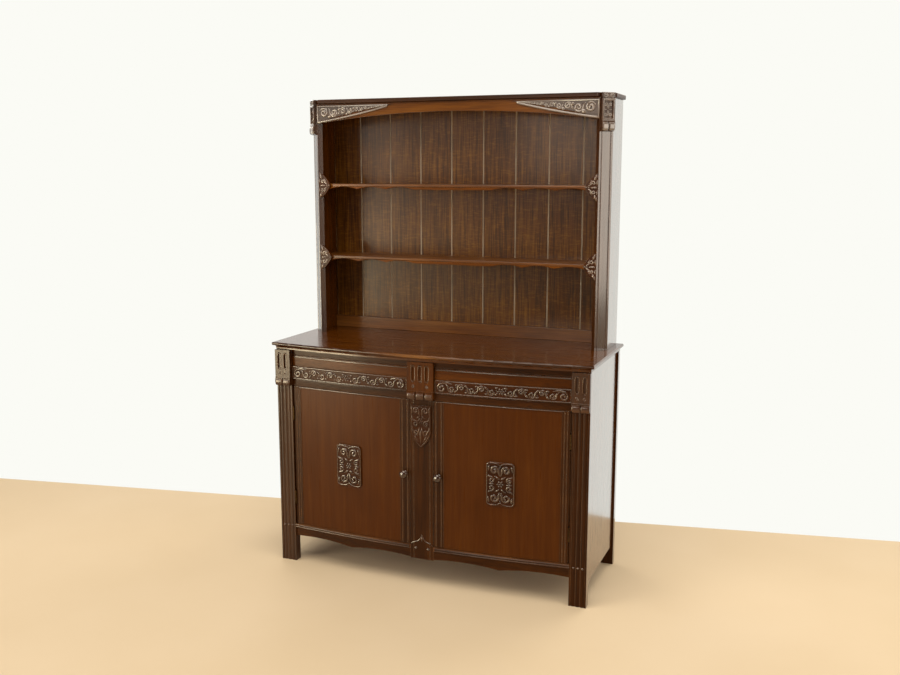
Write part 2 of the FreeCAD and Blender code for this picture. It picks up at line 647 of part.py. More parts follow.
# Butt hinges: the post's leaf carries the pin and the end knuckles, the door's leaf the middle one.
third = "hinge_length / 3"
leaf_start = "hinge_y + knuckle_radius + knuckle_gap"
leaf_y, tab_y = (leaf_start, "hinge_y + leaf_reach"), ("hinge_y", leaf_start)
post_leaf_x = ("post_inner - leaf_thick", "post_inner")
door_leaf_x = ("hinge_edge", "hinge_edge + leaf_thick")
door_leaves, post_leaves = [], []
for place_name, middle in (("lower", "door_low + hinge_inset"), ("upper", "door_high - hinge_inset")):
    low, high = f"{middle} - hinge_length / 2", f"{middle} + hinge_length / 2"
    centre_z = (f"{low} + {third} + knuckle_gap / 2", f"{high} - {third} - knuckle_gap / 2")
    stem = place_name + "_hinge"
    knuckle = rod(stem + "_middle", "knuckle_radius", "hinge_x", "hinge_y", centre_z)
    tab = block(stem + "_door_tab", door_leaf_x, tab_y, centre_z)
    leaf = block(stem + "_door_plate", door_leaf_x, leaf_y, (low, high))
    solid = join("Fuse", stem + "_door_side", join("Fuse", stem + "_door_barrel", knuckle, tab), leaf)
    bore = rod(stem + "_bore", "pin_radius + pin_slip", "hinge_x", "hinge_y", centre_z)
    door_leaves.append(join("Cut", stem + "_door_leaf", solid, bore))
    fixed = block(stem + "_post_plate", post_leaf_x, leaf_y, (low, high))
    for end, z in (("foot", (low, f"{low} + {third} - knuckle_gap / 2")),
                   ("head", (f"{high} - {third} + knuckle_gap / 2", high))):
        end_knuckle = rod(f"{stem}_{end}_knuckle", "knuckle_radius", "hinge_x", "hinge_y", z)
        end_tab = block(f"{stem}_{end}_tab", post_leaf_x, tab_y, z)
        barrel = join("Fuse", f"{stem}_{end}_barrel", end_knuckle, end_tab)
        fixed = join("Fuse", f"{stem}_{end}", fixed, barrel)
    hinge_pin = rod(stem + "_pin", "pin_radius", "hinge_x", "hinge_y", (low, high))
    post_leaves.append(join("Fuse", stem + "_post_leaf", fixed, hinge_pin))
group("right_door_hinges", door_leaves)
group("left_door_hinges", [mirrored("left_" + leaf.Name, leaf) for leaf in door_leaves])
group("post_hinges", post_leaves + [mirrored("left_" + leaf.Name, leaf) for leaf in post_leaves])

# Drawers: a bent front with a carved band, and a tray behind it.
drawer_x = ("drawer_inner", "drawer_outer")
pair("drawer_front", bowed_board("right_drawer_front", drawer_x, "0", "-drawer_front",
                                 ("drawer_low", "drawer_high")))
pair("drawer_band", bowed_board("right_drawer_band", drawer_x, "band_proud", "0",
                                ("drawer_low", "drawer_low + band_height")))


def behind_front(name, x, y, z):
    """A drawer board whose front end fits the hollow of the drawer front."""
    stock = block(name + "_stock", x, y, z)
    return join("Common", name, stock, bow_drum(name + "_drum", "-drawer_front", z))


side_y, side_z = ("face", "tray_rear"), ("tray_low", "tray_high")
tray_x = ("tray_inner + drawer_side", "tray_outer - drawer_side")
inner_side = behind_front("inner_drawer_side", ("tray_inner", tray_x[0]), side_y, side_z)
outer_side = behind_front("outer_drawer_side", (tray_x[1], "tray_outer"), side_y, side_z)
group("right_drawer_sides", [inner_side, outer_side])
group("left_drawer_sides", [mirrored("left_inner_side", inner_side), mirrored("left_outer_side", outer_side)])
pair("drawer_bottom", behind_front("right_drawer_bottom", tray_x, side_y,
                                   ("tray_floor", "tray_floor + drawer_bottom")))
pair("drawer_back", block("right_drawer_back", tray_x, ("tray_rear - drawer_side", "tray_rear"),
                          ("tray_floor + drawer_bottom", "tray_high - drawer_back_drop")))


# Corbels: a side profile with lobes at its foot and a cross bead; slots and hollows are cut from the front.
def corbel(name, width, height, lobe_height, lobes, *sinkings):
    """A corbel with its back on y = 0 and its foot on z = 0; sinkings are outlines cut into its face."""
    body = body_of(name)
    bead_low = f"{lobe_height} + corbel_rail_height / 2"
    bead_high = f"{bead_low} + corbel_rail_height"
    profile = [
        (0, 0), (0, height), ("-corbel_proud", height), ("-corbel_proud", bead_high),
        ("-corbel_rail_proud", bead_high), ("-corbel_rail_proud", bead_low), ("-corbel_proud", bead_low),
        ("-corbel_proud", lobe_height), ("-lobe_proud", lobe_height),
        ("-lobe_proud", "lobe_proud", "lobe_proud"),
    ]
    pad = feature(body, "Pad", name + "_pad", outline(body, name + "_profile", "YZ_Plane", profile), width)
    pad.SideType = "Symmetric"
    slots = []
    for i in range(1, lobes):
        middle = f"({width}) * ({i} / {lobes} - 0.5)"
        left, right = f"{middle} - lobe_slot / 2", f"{middle} + lobe_slot / 2"
        slots.append([(left, 0), (right, 0), (right, lobe_height), (left, lobe_height)])
    slot_sketch = outline(body, name + "_slots", "XZ_Plane", *slots)
    bind(slot_sketch, "AttachmentOffset.Base.z", "lobe_proud")
    feature(body, "Pocket", name + "_slot_cut", slot_sketch, "lobe_proud - corbel_proud / 2")
    sinking_sketch = outline(body, name + "_sinkings", "XZ_Plane", *sinkings)
    bind(sinking_sketch, "AttachmentOffset.Base.z", "corbel_proud")
    feature(body, "Pocket", name + "_sinking_cut", sinking_sketch, "flute_depth")
    return body


def flutes(count, height):
    """Round-ended hollows side by side under the top of a corbel."""
    loops = []
    high, low = f"{height} - flute_top", f"{height} - flute_top - flute_length"
    for i in range(count):
        left = f"flute_pitch * ({i} - {(count - 1) / 2}) - flute_width / 2"
        right = f"{left} + flute_width"
        end = f"flute_width * {FLUTE_END}"
        loops.append([(left, low, end), (right, low), (right, high, end), (left, high)])
    return loops


right_corbel = corbel("right_corbel", "post_width", "corbel_height", "lobe_height", 2,
                      *flutes(2, "corbel_height"))
both("front_corbels", place(right_corbel, "post_inner + post_width / 2", "post_front", "drawer_rail_low"))
centre_corbel = corbel("centre_corbel", "muntin_head_width", "corbel_height", "lobe_height", 3,
                       *flutes(3, "corbel_height"))
node("centre_corbel", place(centre_corbel, 0, "face", "drawer_rail_low"))

# Carved pendant on the middle upright.
pendant_half = "pendant_width / 2"
pendant = padded("muntin_pendant", "XZ_Plane", "pendant_proud", [
    (f"-{pendant_half}", "pendant_taper", "pendant_round"), (0, 0, "pendant_round"),
    (pendant_half, "pendant_taper"), (pendant_half, "pendant_height"), (f"-{pendant_half}", "pendant_height"),
])
node("muntin_pendant", place(pendant, 0, "face", "drawer_rail_low - pendant_gap - pendant_height"))

# Rack: side boards, and canted posts with quirks along both edges.
pair("rack_side", block("right_rack_side", ("rack_inner", "rack_outer"), ("rack_side_front", "back"),
                        ("base_height", "cornice_low")))
near, far, bend = "quirk_inset", "cant_width - quirk_inset", f"-2 * quirk * {FLUTE_END}"
post_section = [
    (0, 0), (f"{near} - quirk", 0, bend), (f"{near} + quirk", 0), (f"{far} - quirk", 0, bend),
    (f"{far} + quirk", 0), ("cant_width", 0), ("cant_width - rack_post", "rack_post"), (0, "rack_post"),
]
rack_post = padded("right_rack_post", "XY_Plane", "cornice_low - base_height", post_section)
pair("rack_post", place(rack_post, "cant_end", "frieze_front", "base_height", turn=45))

# Corbels on the canted posts, level with the top of the cornice.
panel_low = "rack_lobe_height + corbel_rail_height * 3"
panel_high = "rack_corbel_height - cornice_thick - 3 * cornice_round"
corbel_half = "cant_width / 2 - rack_corbel_inset - corbel_rail_height * 2"
rack_corbel = corbel("right_rack_corbel", "cant_width - 2 * rack_corbel_inset", "rack_corbel_height",
                     "rack_lobe_height", 2, symmetric([(corbel_half, panel_low), (corbel_half, panel_high)]))
place(rack_corbel, "rack_outer - cant / 2", "rack_side_front - cant / 2", "rack_height - rack_corbel_height",
      turn=45)
both("rack_corbels", rack_corbel)

# Cornice: canted with the posts at its front corners, rounded along its edges.
cornice_side, cornice_front = "rack_outer + cornice_overhang", "frieze_front - cornice_overhang"
cornice_cant_x, cornice_cant_y = "cant_end - cornice_overhang", "rack_side_front + cornice_overhang"
cornice = padded("cornice", "XY_Plane", "cornice_thick", symmetric([
    (cornice_cant_x, cornice_front), (cornice_side, cornice_cant_y), (cornice_side, "back"),
]))
back_y = value("back")
rounded(cornice, "cornice_edge", "cornice_round",
        lambda edge: edge.BoundBox.ZLength < 1e-3 and edge.BoundBox.YMin < back_y - 1e-3)
node("cornice", place(cornice, z="cornice_low"))


# Arched frieze and shelf brackets fit between the mitred edges of the canted posts.
def between_posts(name, elevation, front, z):
    """Keep the part of a piece that lies between the posts, with its ends mitred to them."""
    front_end = f"cant_end - ({front} - frieze_front)"
    plan = padded(name + "_plan", "XY_Plane", f"({z[1]}) - ({z[0]})", symmetric([
        (front_end, front), ("cant_end - mitre", "frieze_back"),
    ]))
    return join("Common", name, elevation, place(plan, z=z[0]))


frieze_stock = padded("frieze_stock", "XZ_Plane", "mitre", [
    ("-cant_end", "frieze_low", "-arch_radius"), ("cant_end", "frieze_low"), ("cant_end", "cornice_low"),
    ("-cant_end", "cornice_low"),
])
place(frieze_stock, y="frieze_back")
node("arched_frieze", between_posts("arched_frieze", frieze_stock, "frieze_front",
                                    ("frieze_low", "cornice_low")))

# Carved spandrels on the frieze.
spandrel_end, spandrel_top = "cant_end - spandrel_margin", "cornice_low - spandrel_margin"
spandrel = padded("right_spandrel", "XZ_Plane", "spandrel_proud", [
    (spandrel_end, spandrel_top), (spandrel_end, "frieze_low + spandrel_margin", "spandrel_round"),
    (f"{spandrel_end} - spandrel_length", spandrel_top),
])
place(spandrel, y="frieze_front")
both("spandrels", spandrel)

# Rack shelves, fitted round the inside of the canted posts.
shelf_corner = "cant_end - mitre"
shelf_side_x = "rack_outer - mitre * 2"
shelf_plan = symmetric([
    (shelf_corner, "frieze_back"), (shelf_side_x, "rack_side_front"), ("rack_inner", "rack_side_front"),
    ("rack_inner", "board_front"),
])
strips, brackets = [], []
wave = "(scallop_drop - scallop_root)"
wave_radius = f"(scallop_pitch ^ 2 / 4 + {wave} ^ 2) / (2 * {wave})"
for name in ("upper_shelf", "lower_shelf"):
    shelf = padded("rack_" + name, "XY_Plane", "rack_shelf", shelf_plan)
    node("rack_" + name, place(shelf, z=f"{name} - rack_shelf"))
    waves = [(f"{shelf_corner} - scallop_pitch * {i}", "-scallop_drop", wave_radius) for i in range(SCALLOPS)]
    tail = f"{shelf_corner} - scallop_pitch * {SCALLOPS}"
    strip = padded(name + "_strip", "XZ_Plane", "scallop_strip", symmetric([
        (shelf_corner, 0), *waves, (tail, "-scallop_drop"),
        (f"{tail} - scallop_pitch / {SCALLOPS}", "-scallop_root"),
    ]))
    strips.append(place(strip, y="frieze_back + scallop_strip", z=f"{name} - rack_shelf"))
    middle = f"{name} - rack_shelf / 2"
    bracket_low, bracket_high = f"{middle} - bracket_height / 2", f"{middle} + bracket_height / 2"
    shape = padded(name + "_bracket_stock", "XZ_Plane", "mitre", [
        ("cant_end", bracket_high, "bracket_round"), ("cant_end - bracket_width", middle, "bracket_round"),
        ("cant_end", bracket_low),
    ])
    bracket = between_posts(name + "_bracket", place(shape, y="frieze_back"), "frieze_front + bracket_set",
                            (bracket_low, bracket_high))
    brackets += [bracket, mirrored(name + "_left_bracket", bracket)]
group("shelf_strips", strips)
group("shelf_brackets", brackets)

# Backboards with vee joints, the middle one astride the middle plane, and the rail along their foot.
joints = []
while value("rack_inner") - value(f"board_pitch * ({len(joints)} + 0.5)") > value("board_vee * 4"):
    joints.append(f"board_pitch * ({len(joints)} + 0.5)")
board_edges = ["-rack_inner"] + ["-" + x for x in reversed(joints)] + joints + ["rack_inner"]
boards = []
for i, (left, right) in enumerate(zip(board_edges, board_edges[1:])):
    boards.append(place(padded(f"backboard_{i}", "XY_Plane", "cornice_low - base_height", [
        (f"{left} + board_vee", "board_front"), (f"{right} - board_vee", "board_front"),
        (right, "board_front + board_vee"), (right, "board_back"), (left, "board_back"),
        (left, "board_front + board_vee"),
    ]), z="base_height"))
group("rack_backboards", boards)
node("rack_back_rail", block("rack_back_rail", ("-rack_inner", "rack_inner"),
                             ("board_front - back_rail_thick", "board_front"),
                             ("base_height", "base_height + back_rail_height")))

doc.recompute()
faults = [thing.Name for thing in doc.Objects if {"Invalid", "Error"} & set(thing.State)]
if faults:
    raise RuntimeError("did not build: " + ", ".join(faults))
os.makedirs("parts", exist_ok=True)
for label, thing in sorted(nodes.items()):
    shape = thing.Shape
    if shape.isNull() or not shape.isValid() or not shape.Solids:
        raise RuntimeError(f"{label} is not a sound solid")
    shape.exportStep(f"parts/{label}.step")
    box = shape.BoundBox
    print(f"{label}: {len(shape.Solids)} solids, {shape.Volume / 1000:.1f} cm3,"
          f" {box.XLength:.1f} x {box.YLength:.1f} x {box.ZLength:.1f} mm")
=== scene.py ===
# %% [markdown]
# A bow-fronted Welsh dresser in dark stained oak: an open plate rack on a base with two doors and two
# drawers. The joinery comes from the CAD frame. This script eases its edges, turns its knobs, carves its
# ornament, stains and lacquers it, and sets it on a plain floor in soft light.

# %% Load the frame
import math
import bmesh
import bpy
from mathutils import Matrix, Vector


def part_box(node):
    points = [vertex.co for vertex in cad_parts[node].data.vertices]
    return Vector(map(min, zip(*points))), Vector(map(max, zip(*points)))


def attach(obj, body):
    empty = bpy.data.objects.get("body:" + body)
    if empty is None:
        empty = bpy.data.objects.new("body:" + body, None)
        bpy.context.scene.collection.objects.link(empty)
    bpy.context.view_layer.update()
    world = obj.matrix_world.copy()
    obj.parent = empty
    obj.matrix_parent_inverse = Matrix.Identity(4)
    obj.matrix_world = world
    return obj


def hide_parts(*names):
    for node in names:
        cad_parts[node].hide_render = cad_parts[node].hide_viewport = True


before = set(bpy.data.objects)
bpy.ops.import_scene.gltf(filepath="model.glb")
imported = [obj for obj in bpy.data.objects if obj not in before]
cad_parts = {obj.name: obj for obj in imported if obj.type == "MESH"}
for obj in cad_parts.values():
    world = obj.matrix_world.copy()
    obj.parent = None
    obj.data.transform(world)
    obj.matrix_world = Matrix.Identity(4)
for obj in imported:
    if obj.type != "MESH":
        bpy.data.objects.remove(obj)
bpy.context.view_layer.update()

# %% [markdown]
# The camera stands to the right of the dresser at about eye height. A camera can be aimed with a
# constraint, or its angles can be typed in. They are typed in here, because place, lens and angles were
# worked out together, from where the corners of the base and the rack fall in the picture.

# %% Camera
scene = bpy.context.scene
scene.view_settings.view_transform = "Standard"
camera = bpy.data.objects.new("camera", bpy.data.cameras.new("camera"))
camera.data.lens = 39.64
camera.data.sensor_width = 36.0
camera.location = (1.3522, -3.3179, 1.4917)
look_down, look_left = 0.1712, 0.3815
camera.rotation_euler = (math.pi / 2 - look_down, 0.0, look_left)
scene.collection.objects.link(camera)
scene.camera = camera
print("camera", round(camera.location.length, 2), "m from the middle of the dresser's foot")

# %% [markdown]
# Every material is a small tree of nodes. Such a tree can be drawn by hand in the shader editor, but a
# script has to name each node and each link. One helper adds a node and fills its sockets, and the others
# wrap the few nodes that every wood needs, so that a finish reads as a recipe. Colours are hex codes, as in
# a paint program.

# %% Node and colour helpers
X, Y, Z = 0, 1, 2


def add(tree, kind, inputs=(), **settings):
    """A new node; inputs are plain values or the sockets of other nodes."""
    node = tree.nodes.new(kind)
    for key, value in settings.items():
        setattr(node, key, value)
    for key, value in dict(inputs).items():
        if isinstance(value, bpy.types.NodeSocket):
            tree.links.new(value, node.inputs[key])
        else:
            node.inputs[key].default_value = value
    return node


def calc(tree, operation, *values):
    """One sum on numbers or sockets."""
    return add(tree, "ShaderNodeMath", dict(enumerate(values)), operation=operation).outputs[0]


def mapped(tree, value, low=0.0, high=1.0, to_low=0.0, to_high=1.0):
    """A value carried from one range to another, and held at its ends."""
    span = {"Value": value, "From Min": low, "From Max": high, "To Min": to_low, "To Max": to_high}
    return add(tree, "ShaderNodeMapRange", span).outputs[0]


def noise(tree, place, scale, detail, rough=0.5, twist=0.0):
    """Soft random spots; a scale of 100 makes them about a centimetre wide."""
    look = {"Vector": place, "Scale": scale, "Detail": detail, "Roughness": rough, "Distortion": twist}
    return add(tree, "ShaderNodeTexNoise", look).outputs["Fac"]


def drawn_out(tree, place, along, lengthways, sideways=1.0):
    """Coordinates that stretch a pattern along one axis."""
    scale = [lengthways if axis == along else sideways for axis in (X, Y, Z)]
    return add(tree, "ShaderNodeMapping", {"Vector": place, "Scale": scale}).outputs[0]


def linear(code):
    parts = [int(code[i:i + 2], 16) / 255 for i in (1, 3, 5)]
    return [p / 12.92 if p <= 0.04045 else ((p + 0.055) / 1.055) ** 2.4 for p in parts] + [1.0]


def ramp(tree, factor, stops):
    node = add(tree, "ShaderNodeValToRGB", {"Fac": factor})
    band = node.color_ramp
    while len(band.elements) < len(stops):
        band.elements.new(0.5)
    for element, (place, code) in zip(band.elements, stops):
        element.position = place
        element.color = linear(code)
    return node.outputs["Color"]


def blank(name):
    material = bpy.data.materials.new(name)
    material.use_nodes = True
    material.node_tree.nodes.clear()
    return material


def surfaced(tree, sockets):
    surface = add(tree, "ShaderNodeBsdfPrincipled", sockets)
    add(tree, "ShaderNodeOutputMaterial", {"Surface": surface.outputs["BSDF"]})


print("middle grey in linear light", round(linear("#808080")[0], 3))

# %% [markdown]
# The floor is plain and pale, and ends a little behind the dresser. A floor could be one endless sheet, but
# then its horizon would show; here it meets a plain background along a slanted line.

# %% Floor
FLOOR_SIDE, FLOOR_FRONT = 12, -14
BACK_EDGE, BACK_SLOPE = 0.589, 0.18


def plain_floor(name, codes, outline):
    paint = blank(name + "_paint")
    tree = paint.node_tree
    # A faint cloudiness keeps the painted floor from looking like a flat card.
    cloud = noise(tree, add(tree, "ShaderNodeTexCoord").outputs["Object"], 1.4, 3.0)
    shade = ramp(tree, cloud, list(zip((0.3, 0.7), codes)))
    surfaced(tree, {"Base Color": shade, "Roughness": 0.7, "IOR": 1.3})
    mesh = bpy.data.meshes.new(name)
    mesh.from_pydata([(x, y, 0) for x, y in outline], [], [list(range(len(outline)))])
    mesh.materials.append(paint)
    obj = bpy.data.objects.new(name, mesh)
    scene.collection.objects.link(obj)


back_line = [(x, BACK_EDGE + BACK_SLOPE * x) for x in (FLOOR_SIDE, -FLOOR_SIDE)]
front_line = [(-FLOOR_SIDE, FLOOR_FRONT), (FLOOR_SIDE, FLOOR_FRONT)]
plain_floor("floor", ("#D6C3A4", "#DBC9AC"), front_line + back_line)
print("floor ends", BACK_EDGE, "m behind the middle")

# %% [markdown]
# Polished wood shows what stands round it, so the light is set for its mirror image as much as for its
# brightness. A white sheet behind the dresser would do, but a background that is white from behind and dim
# from the front takes no mesh. The front keeps its dark stain, and what is seen at a low angle turns pale.

# %% Background
world = bpy.data.worlds.new("white_background")
scene.world = world
world.use_nodes = True
tree = world.node_tree
tree.nodes.clear()
path = add(tree, "ShaderNodeLightPath").outputs
look = add(tree, "ShaderNodeSeparateXYZ", {0: add(tree, "ShaderNodeTexCoord").outputs["Generated"]})
behind = mapped(tree, look.outputs["Y"], -0.1, 0.3)
mirrored = calc(tree, "MAXIMUM", path["Is Glossy Ray"], path["Is Transmission Ray"])
seen = calc(tree, "MAXIMUM", path["Is Camera Ray"], calc(tree, "MULTIPLY", mirrored, behind))
# Soft light from all round is bright where it falls and dim where the lacquer mirrors it.
soft = mapped(tree, mirrored, to_low=0.42, to_high=0.12)
fill = add(tree, "ShaderNodeBackground", {"Color": linear("#FFF6EA"), "Strength": soft})
white = add(tree, "ShaderNodeBackground", {"Color": linear("#FBFBF5"), "Strength": 1.0})
both = add(tree, "ShaderNodeMixShader", {"Fac": seen, 1: fill.outputs[0], 2: white.outputs[0]})
add(tree, "ShaderNodeOutputWorld", {"Surface": both.outputs[0]})
print("background nodes", len(tree.nodes))

# %% [markdown]
# Large square lamps stand in for soft daylight. Small point lamps would throw hard shadows and give
# pin-sharp sparks in the lacquer. Two of the lamps are cards, which light nothing and are only mirrored:
# they draw the highlights on the carving and the haze on the left side.

# %% Lamps
def lamp(name, place, aim, size, power, card=False, tint="#FFF3E2"):
    """A square soft lamp, in metres and watts; a card is a small one that only the lacquer mirrors."""
    light = bpy.data.lights.new(name, "AREA")
    light.shape = "SQUARE"
    light.size = size
    light.energy = power
    light.color = linear(tint)[:3]
    lit = bpy.data.objects.new(name, light)
    lit.location = place
    lit.rotation_euler = (Vector(aim) - Vector(place)).to_track_quat("-Z", "Y").to_euler()
    lit.visible_camera = False
    lit.visible_diffuse = not card
    scene.collection.objects.link(lit)


lamp("overhead", (0.2, -1.8, 4.2), (0, 0, 0.6), 3.2, 122)
lamp("front_left", (-3.2, -3.6, 1.9), (-0.2, 0, 0.9), 2.2, 75)
lamp("low_card", (-2.55, -2.85, 0.55), (-0.5, -0.2, 0.7), 1.0, 72, card=True, tint="#FFEFC6")
lamp("far_card", (-0.9, -4.9, 1.9), (0.3, 0, 1.6), 1.0, 33, card=True)
lamp("right", (4.1, -0.8, 1.7), (0.4, 0, 1.0), 2.4, 60)
lamp("low_back", (2.0, 3.4, 0.7), (0.6, 0, 0.7), 4.0, 14, tint="#FAFFF2")
lamp("back_right", (1.8, 3.2, 3.4), (0.2, 0, 0.6), 2.4, 60)
lamp("back_left", (-2.6, 2.4, 3.2), (-0.2, 0, 0.8), 2.4, 40)
print("lamps", len(bpy.data.lights), "with", round(sum(light.energy for light in bpy.data.lights)), "W")

# %% [markdown]
# The dresser is oak, stained dark and lacquered. Photographed boards could be wrapped round it, but every
# piece has its own direction of grain, and a formula follows that at any size. So one function builds the
# wood from what oak shows: growth bands, open pores, pale rays, uneven stain, and a lacquer film over them.

# %% Oak recipe
USUAL_GRAIN = 34.0


def oak(name, along, colours, fleck=0.0, rough=0.34, coat=0.15, pores=0.5, stain=0.4, relief=0.2, shine=1.28,
        grain=USUAL_GRAIN, fade=0.0, glance=False, film=0.14):
    """Stained oak with its grain along one axis, from a dark, a middle and a light colour.

    fleck, pores, stain and relief say how much rays, pores, uneven stain and the pores' hollows show.
    rough and shine are the wood's dullness and refractive index, coat and film the lacquer's strength
    and dullness; glance keeps the lacquer's mirror to low angles.
    grain is how close the growth bands lie, fade the half-length of a worn, painted-highlight middle, in
    metres.
    """
    material = blank(name)
    tree = material.node_tree
    place = add(tree, "ShaderNodeTexCoord").outputs["Object"]
    # Growth bands, some 30 mm apart at the usual grain, are drawn out twenty times along the board.
    bands = noise(tree, drawn_out(tree, place, along, 0.05), grain, 4.0, 0.6, 0.4)
    # Pores are about 0.3 mm wide on oak; drawn at about 3 mm, so that they show at this distance.
    pore = noise(tree, drawn_out(tree, place, along, 0.022), 330.0, 2.0, 0.7)
    # Pale flecks lie across the grain, a few centimetres long, where the board was cut along the rays.
    ray = noise(tree, drawn_out(tree, place, along, 2.6, 0.4), 80.0, 3.0, 0.6, 0.7)
    ray = mapped(tree, ray, 0.5, 0.66, 0.0, fleck)
    # The stain takes unevenly over a hand's breadth or two.
    uneven = calc(tree, "SUBTRACT", noise(tree, place, 4.5, 2.0), 0.5)
    mixed = calc(tree, "MULTIPLY_ADD", uneven, stain, calc(tree, "ADD", bands, ray))
    if fade:
        # Wear and a painted highlight are strongest in the middle of the front and die away toward the ends.
        side = calc(tree, "ABSOLUTE", add(tree, "ShaderNodeSeparateXYZ", {0: place}).outputs["X"])
        mixed = calc(tree, "ADD", mixed, mapped(tree, side, 0.0, fade, 0.0, -0.5))
    colour = ramp(tree, mixed, list(zip((0.28, 0.5, 0.74), colours)))
    dark = ramp(tree, pore, [(0.36, "#7A6A60"), (0.56, "#FFFFFF")])
    colour = add(tree, "ShaderNodeMix", {"Factor": pores, 6: colour, 7: dark}, data_type="RGBA",
                 blend_type="MULTIPLY").outputs[2]
    gloss = mapped(tree, pore, 0.3, 0.7, rough + 0.1, rough - 0.04)
    bump = add(tree, "ShaderNodeBump", {"Height": pore, "Strength": relief, "Distance": 0.0006})
    if glance:
        # The polish shows its mirror at low angles; face on, the stain shows.
        facing = add(tree, "ShaderNodeLayerWeight", {"Blend": 0.5}).outputs["Facing"]
        coat = mapped(tree, facing, 0.45, 0.75)
    surfaced(tree, {
        "Base Color": colour, "Roughness": gloss, "Normal": bump.outputs[0], "IOR": shine,
        "Coat Weight": coat, "Coat Roughness": film, "Coat IOR": 1.7 if glance else max(1.4, shine)})
    return material


print("growth bands lie about", round(1000 / USUAL_GRAIN), "mm apart at the usual grain")

# %% [markdown]
# Flat boards come in a few tones. The frame is darkest and the drawers and doors are warmer. The frieze and
# shelves are palest: they are painted lighter, for the light that falls on them high up and along their front
# edges. One tone for all would be simpler, but the eye reads the separate boards by these small steps. Grain
# runs along each board, so some tones have two directions.

# %% Board finishes
GRAIN = {X: "across", Y: "back", Z: "upright"}
DARK = ("#2E1400", "#3B1C01", "#482504")
WARM = ("#431F01", "#4F2702", "#5D3106")
# Stained oak of the frame: near black-brown with little shine, so that it frames the panels.
frame_oak = {i: oak("stained_oak_frame_" + GRAIN[i], i, DARK, coat=0.05, shine=1.2) for i in (X, Z)}
# Stained oak of the drawers: warmer and cloudy.
warm_oak = {i: oak("stained_oak_panel_" + GRAIN[i], i, WARM, rough=0.3, coat=0.05, pores=0.4, stain=0.6,
                   shine=1.2) for i in (X, Z)}
# The doors are a shade yellower than the drawers, with a thinner lacquer and a finer grain.
door_oak = oak("stained_oak_door", Z, ("#472202", "#4D2604", "#552D07"), rough=0.3, coat=0.04, pores=0.15,
               stain=0.5, shine=1.19, grain=60.0)
# The frieze is painted pale and orange, as painted light for the light that falls on it high up.
lit_frieze_oak = oak("painted_lit_oak_frieze", X, ("#583006", "#683B09", "#7A4B12"), rough=0.3, coat=0.03, stain=0.6,
                 shine=1.16)
# The top is polished, and mirrors the backboards at a low angle.
top_oak = oak("polished_oak_top", X, WARM, rough=0.2, coat=0.45, pores=0.4, stain=0.6, shine=1.3, relief=0.1)
# The canted posts and the sides are polished more than the front, and turn pale at a low angle.
polished_oak = oak("polished_oak_upright", Z, DARK, rough=0.22, coat=1.0, pores=0.3, shine=1.6, relief=0.03)
polished_side = oak("polished_oak_side", Z, WARM, rough=0.2, pores=0.4, shine=1.3, relief=0.03, glance=True)
# The corbels and the left front post, nearest the light, have a bloom of old wax over the stain.
post_oak = oak("waxed_oak_post", Z, DARK, coat=0.35, shine=1.35, film=0.25)
# The shelves are painted paler all over, a painted highlight for the light along their front edges. The
# strips under them have a redder tone, and are painted paler too, as if lit, so that their scallops show.
lit_shelf_oak = oak("painted_lit_oak_shelf", X, ("#5A3210", "#6B3F17", "#7E5024"), rough=0.3, stain=0.6, shine=1.26)
lit_strip_oak = oak("stained_lit_oak_strip", X, ("#583006", "#6C3A07", "#7E490E"), rough=0.3, coat=0.03, stain=0.6,
                shine=1.16)
# The backboards show a marked fleck, and their grain breaks up the shine.
figured_oak = oak("figured_oak_boards", Z, ("#4C2905", "#5E3609", "#7A4E17"), fleck=0.24, rough=0.33,
                  pores=0.8, relief=0.5, shine=1.25, grain=110.0)
# The joints between the backboards show as thin pale lines: a painted highlight where the chamfers catch the
# light.
joint_highlight = oak("painted_joint_highlight", Z, ("#A08E77", "#B5A38C", "#C8B69F"), rough=0.4, coat=0.2)
# Inside, the wood is lightly stained and has no lacquer, so it looks dry.
DRY = ("#4A2C17", "#6E4526", "#8A5C36")
inside_oak = {i: oak("plain_oak_inside_" + GRAIN[i], i, DRY, rough=0.55, coat=0.0) for i in (X, Y, Z)}
# Handling has rubbed the stain thin along the edges, and they are painted paler as well, a painted highlight
# where they catch the light.
rubbed_highlit_edge = oak("rubbed_highlit_oak_edge", X, ("#46260A", "#583310", "#6E441C"), rough=0.2, coat=1.0, shine=1.45)
# The front edge of the top has been leaned on, and carries a painted highlight: it is palest in the middle.
worn_highlit_oak = oak("worn_highlit_oak_nosing", X, ("#3A1C04", "#6A4016", "#8C5E2A"), rough=0.22, coat=0.6, fade=0.5)
print("board finishes", len([m for m in bpy.data.materials if "oak" in m.name]))

# %% [markdown]
# Carving shows by contrast: ridges are rubbed and glossy, and the ground between them is darker and duller.
# A real carver's finish comes from one brush and a cloth. Here ridge and ground are two finishes.

# %% Carving finishes
RUBBED = {"rough": 0.2, "coat": 1.0, "pores": 0.2, "relief": 0.05}
# Dark glossy ridges with thin bright highlights, on the drawers and doors.
ridge_oak = oak("carved_oak_ridge", X, ("#301605", "#3F2109", "#522E12"), shine=1.5, film=0.06, **RUBBED)
# Ridges painted pale and grey high up: a painted reflection of the light that falls there.
highlit_ridge = oak("carved_oak_highlit_ridge", X, ("#55483F", "#6D5F56", "#86786E"), shine=1.6, film=0.08,
                 **RUBBED)
# Grey-brown ridges with small sparks, on the shelf brackets; the grey stands partly for a painted sheen of
# reflected light.
bracket_oak = oak("carved_oak_bracket", X, ("#4A3528", "#5F4738", "#775D4C"), shine=1.6, film=0.06, **RUBBED)
# Ground painted grey behind the pale ridges: a painted haze of reflected light over the dark stain.
haze_painted_ground = oak("carved_oak_haze_painted_ground", X, ("#2E1C10", "#3C2617", "#4C3220"), rough=0.34, coat=0.3,
                  shine=1.3)
# Beads, lobes and the pendant have a softer shine than the other ridges.
bead_oak = oak("moulded_oak_bead", X, ("#331A08", "#43240D", "#563315"), rough=0.28, coat=0.4, pores=0.2,
               shine=1.4, film=0.16)
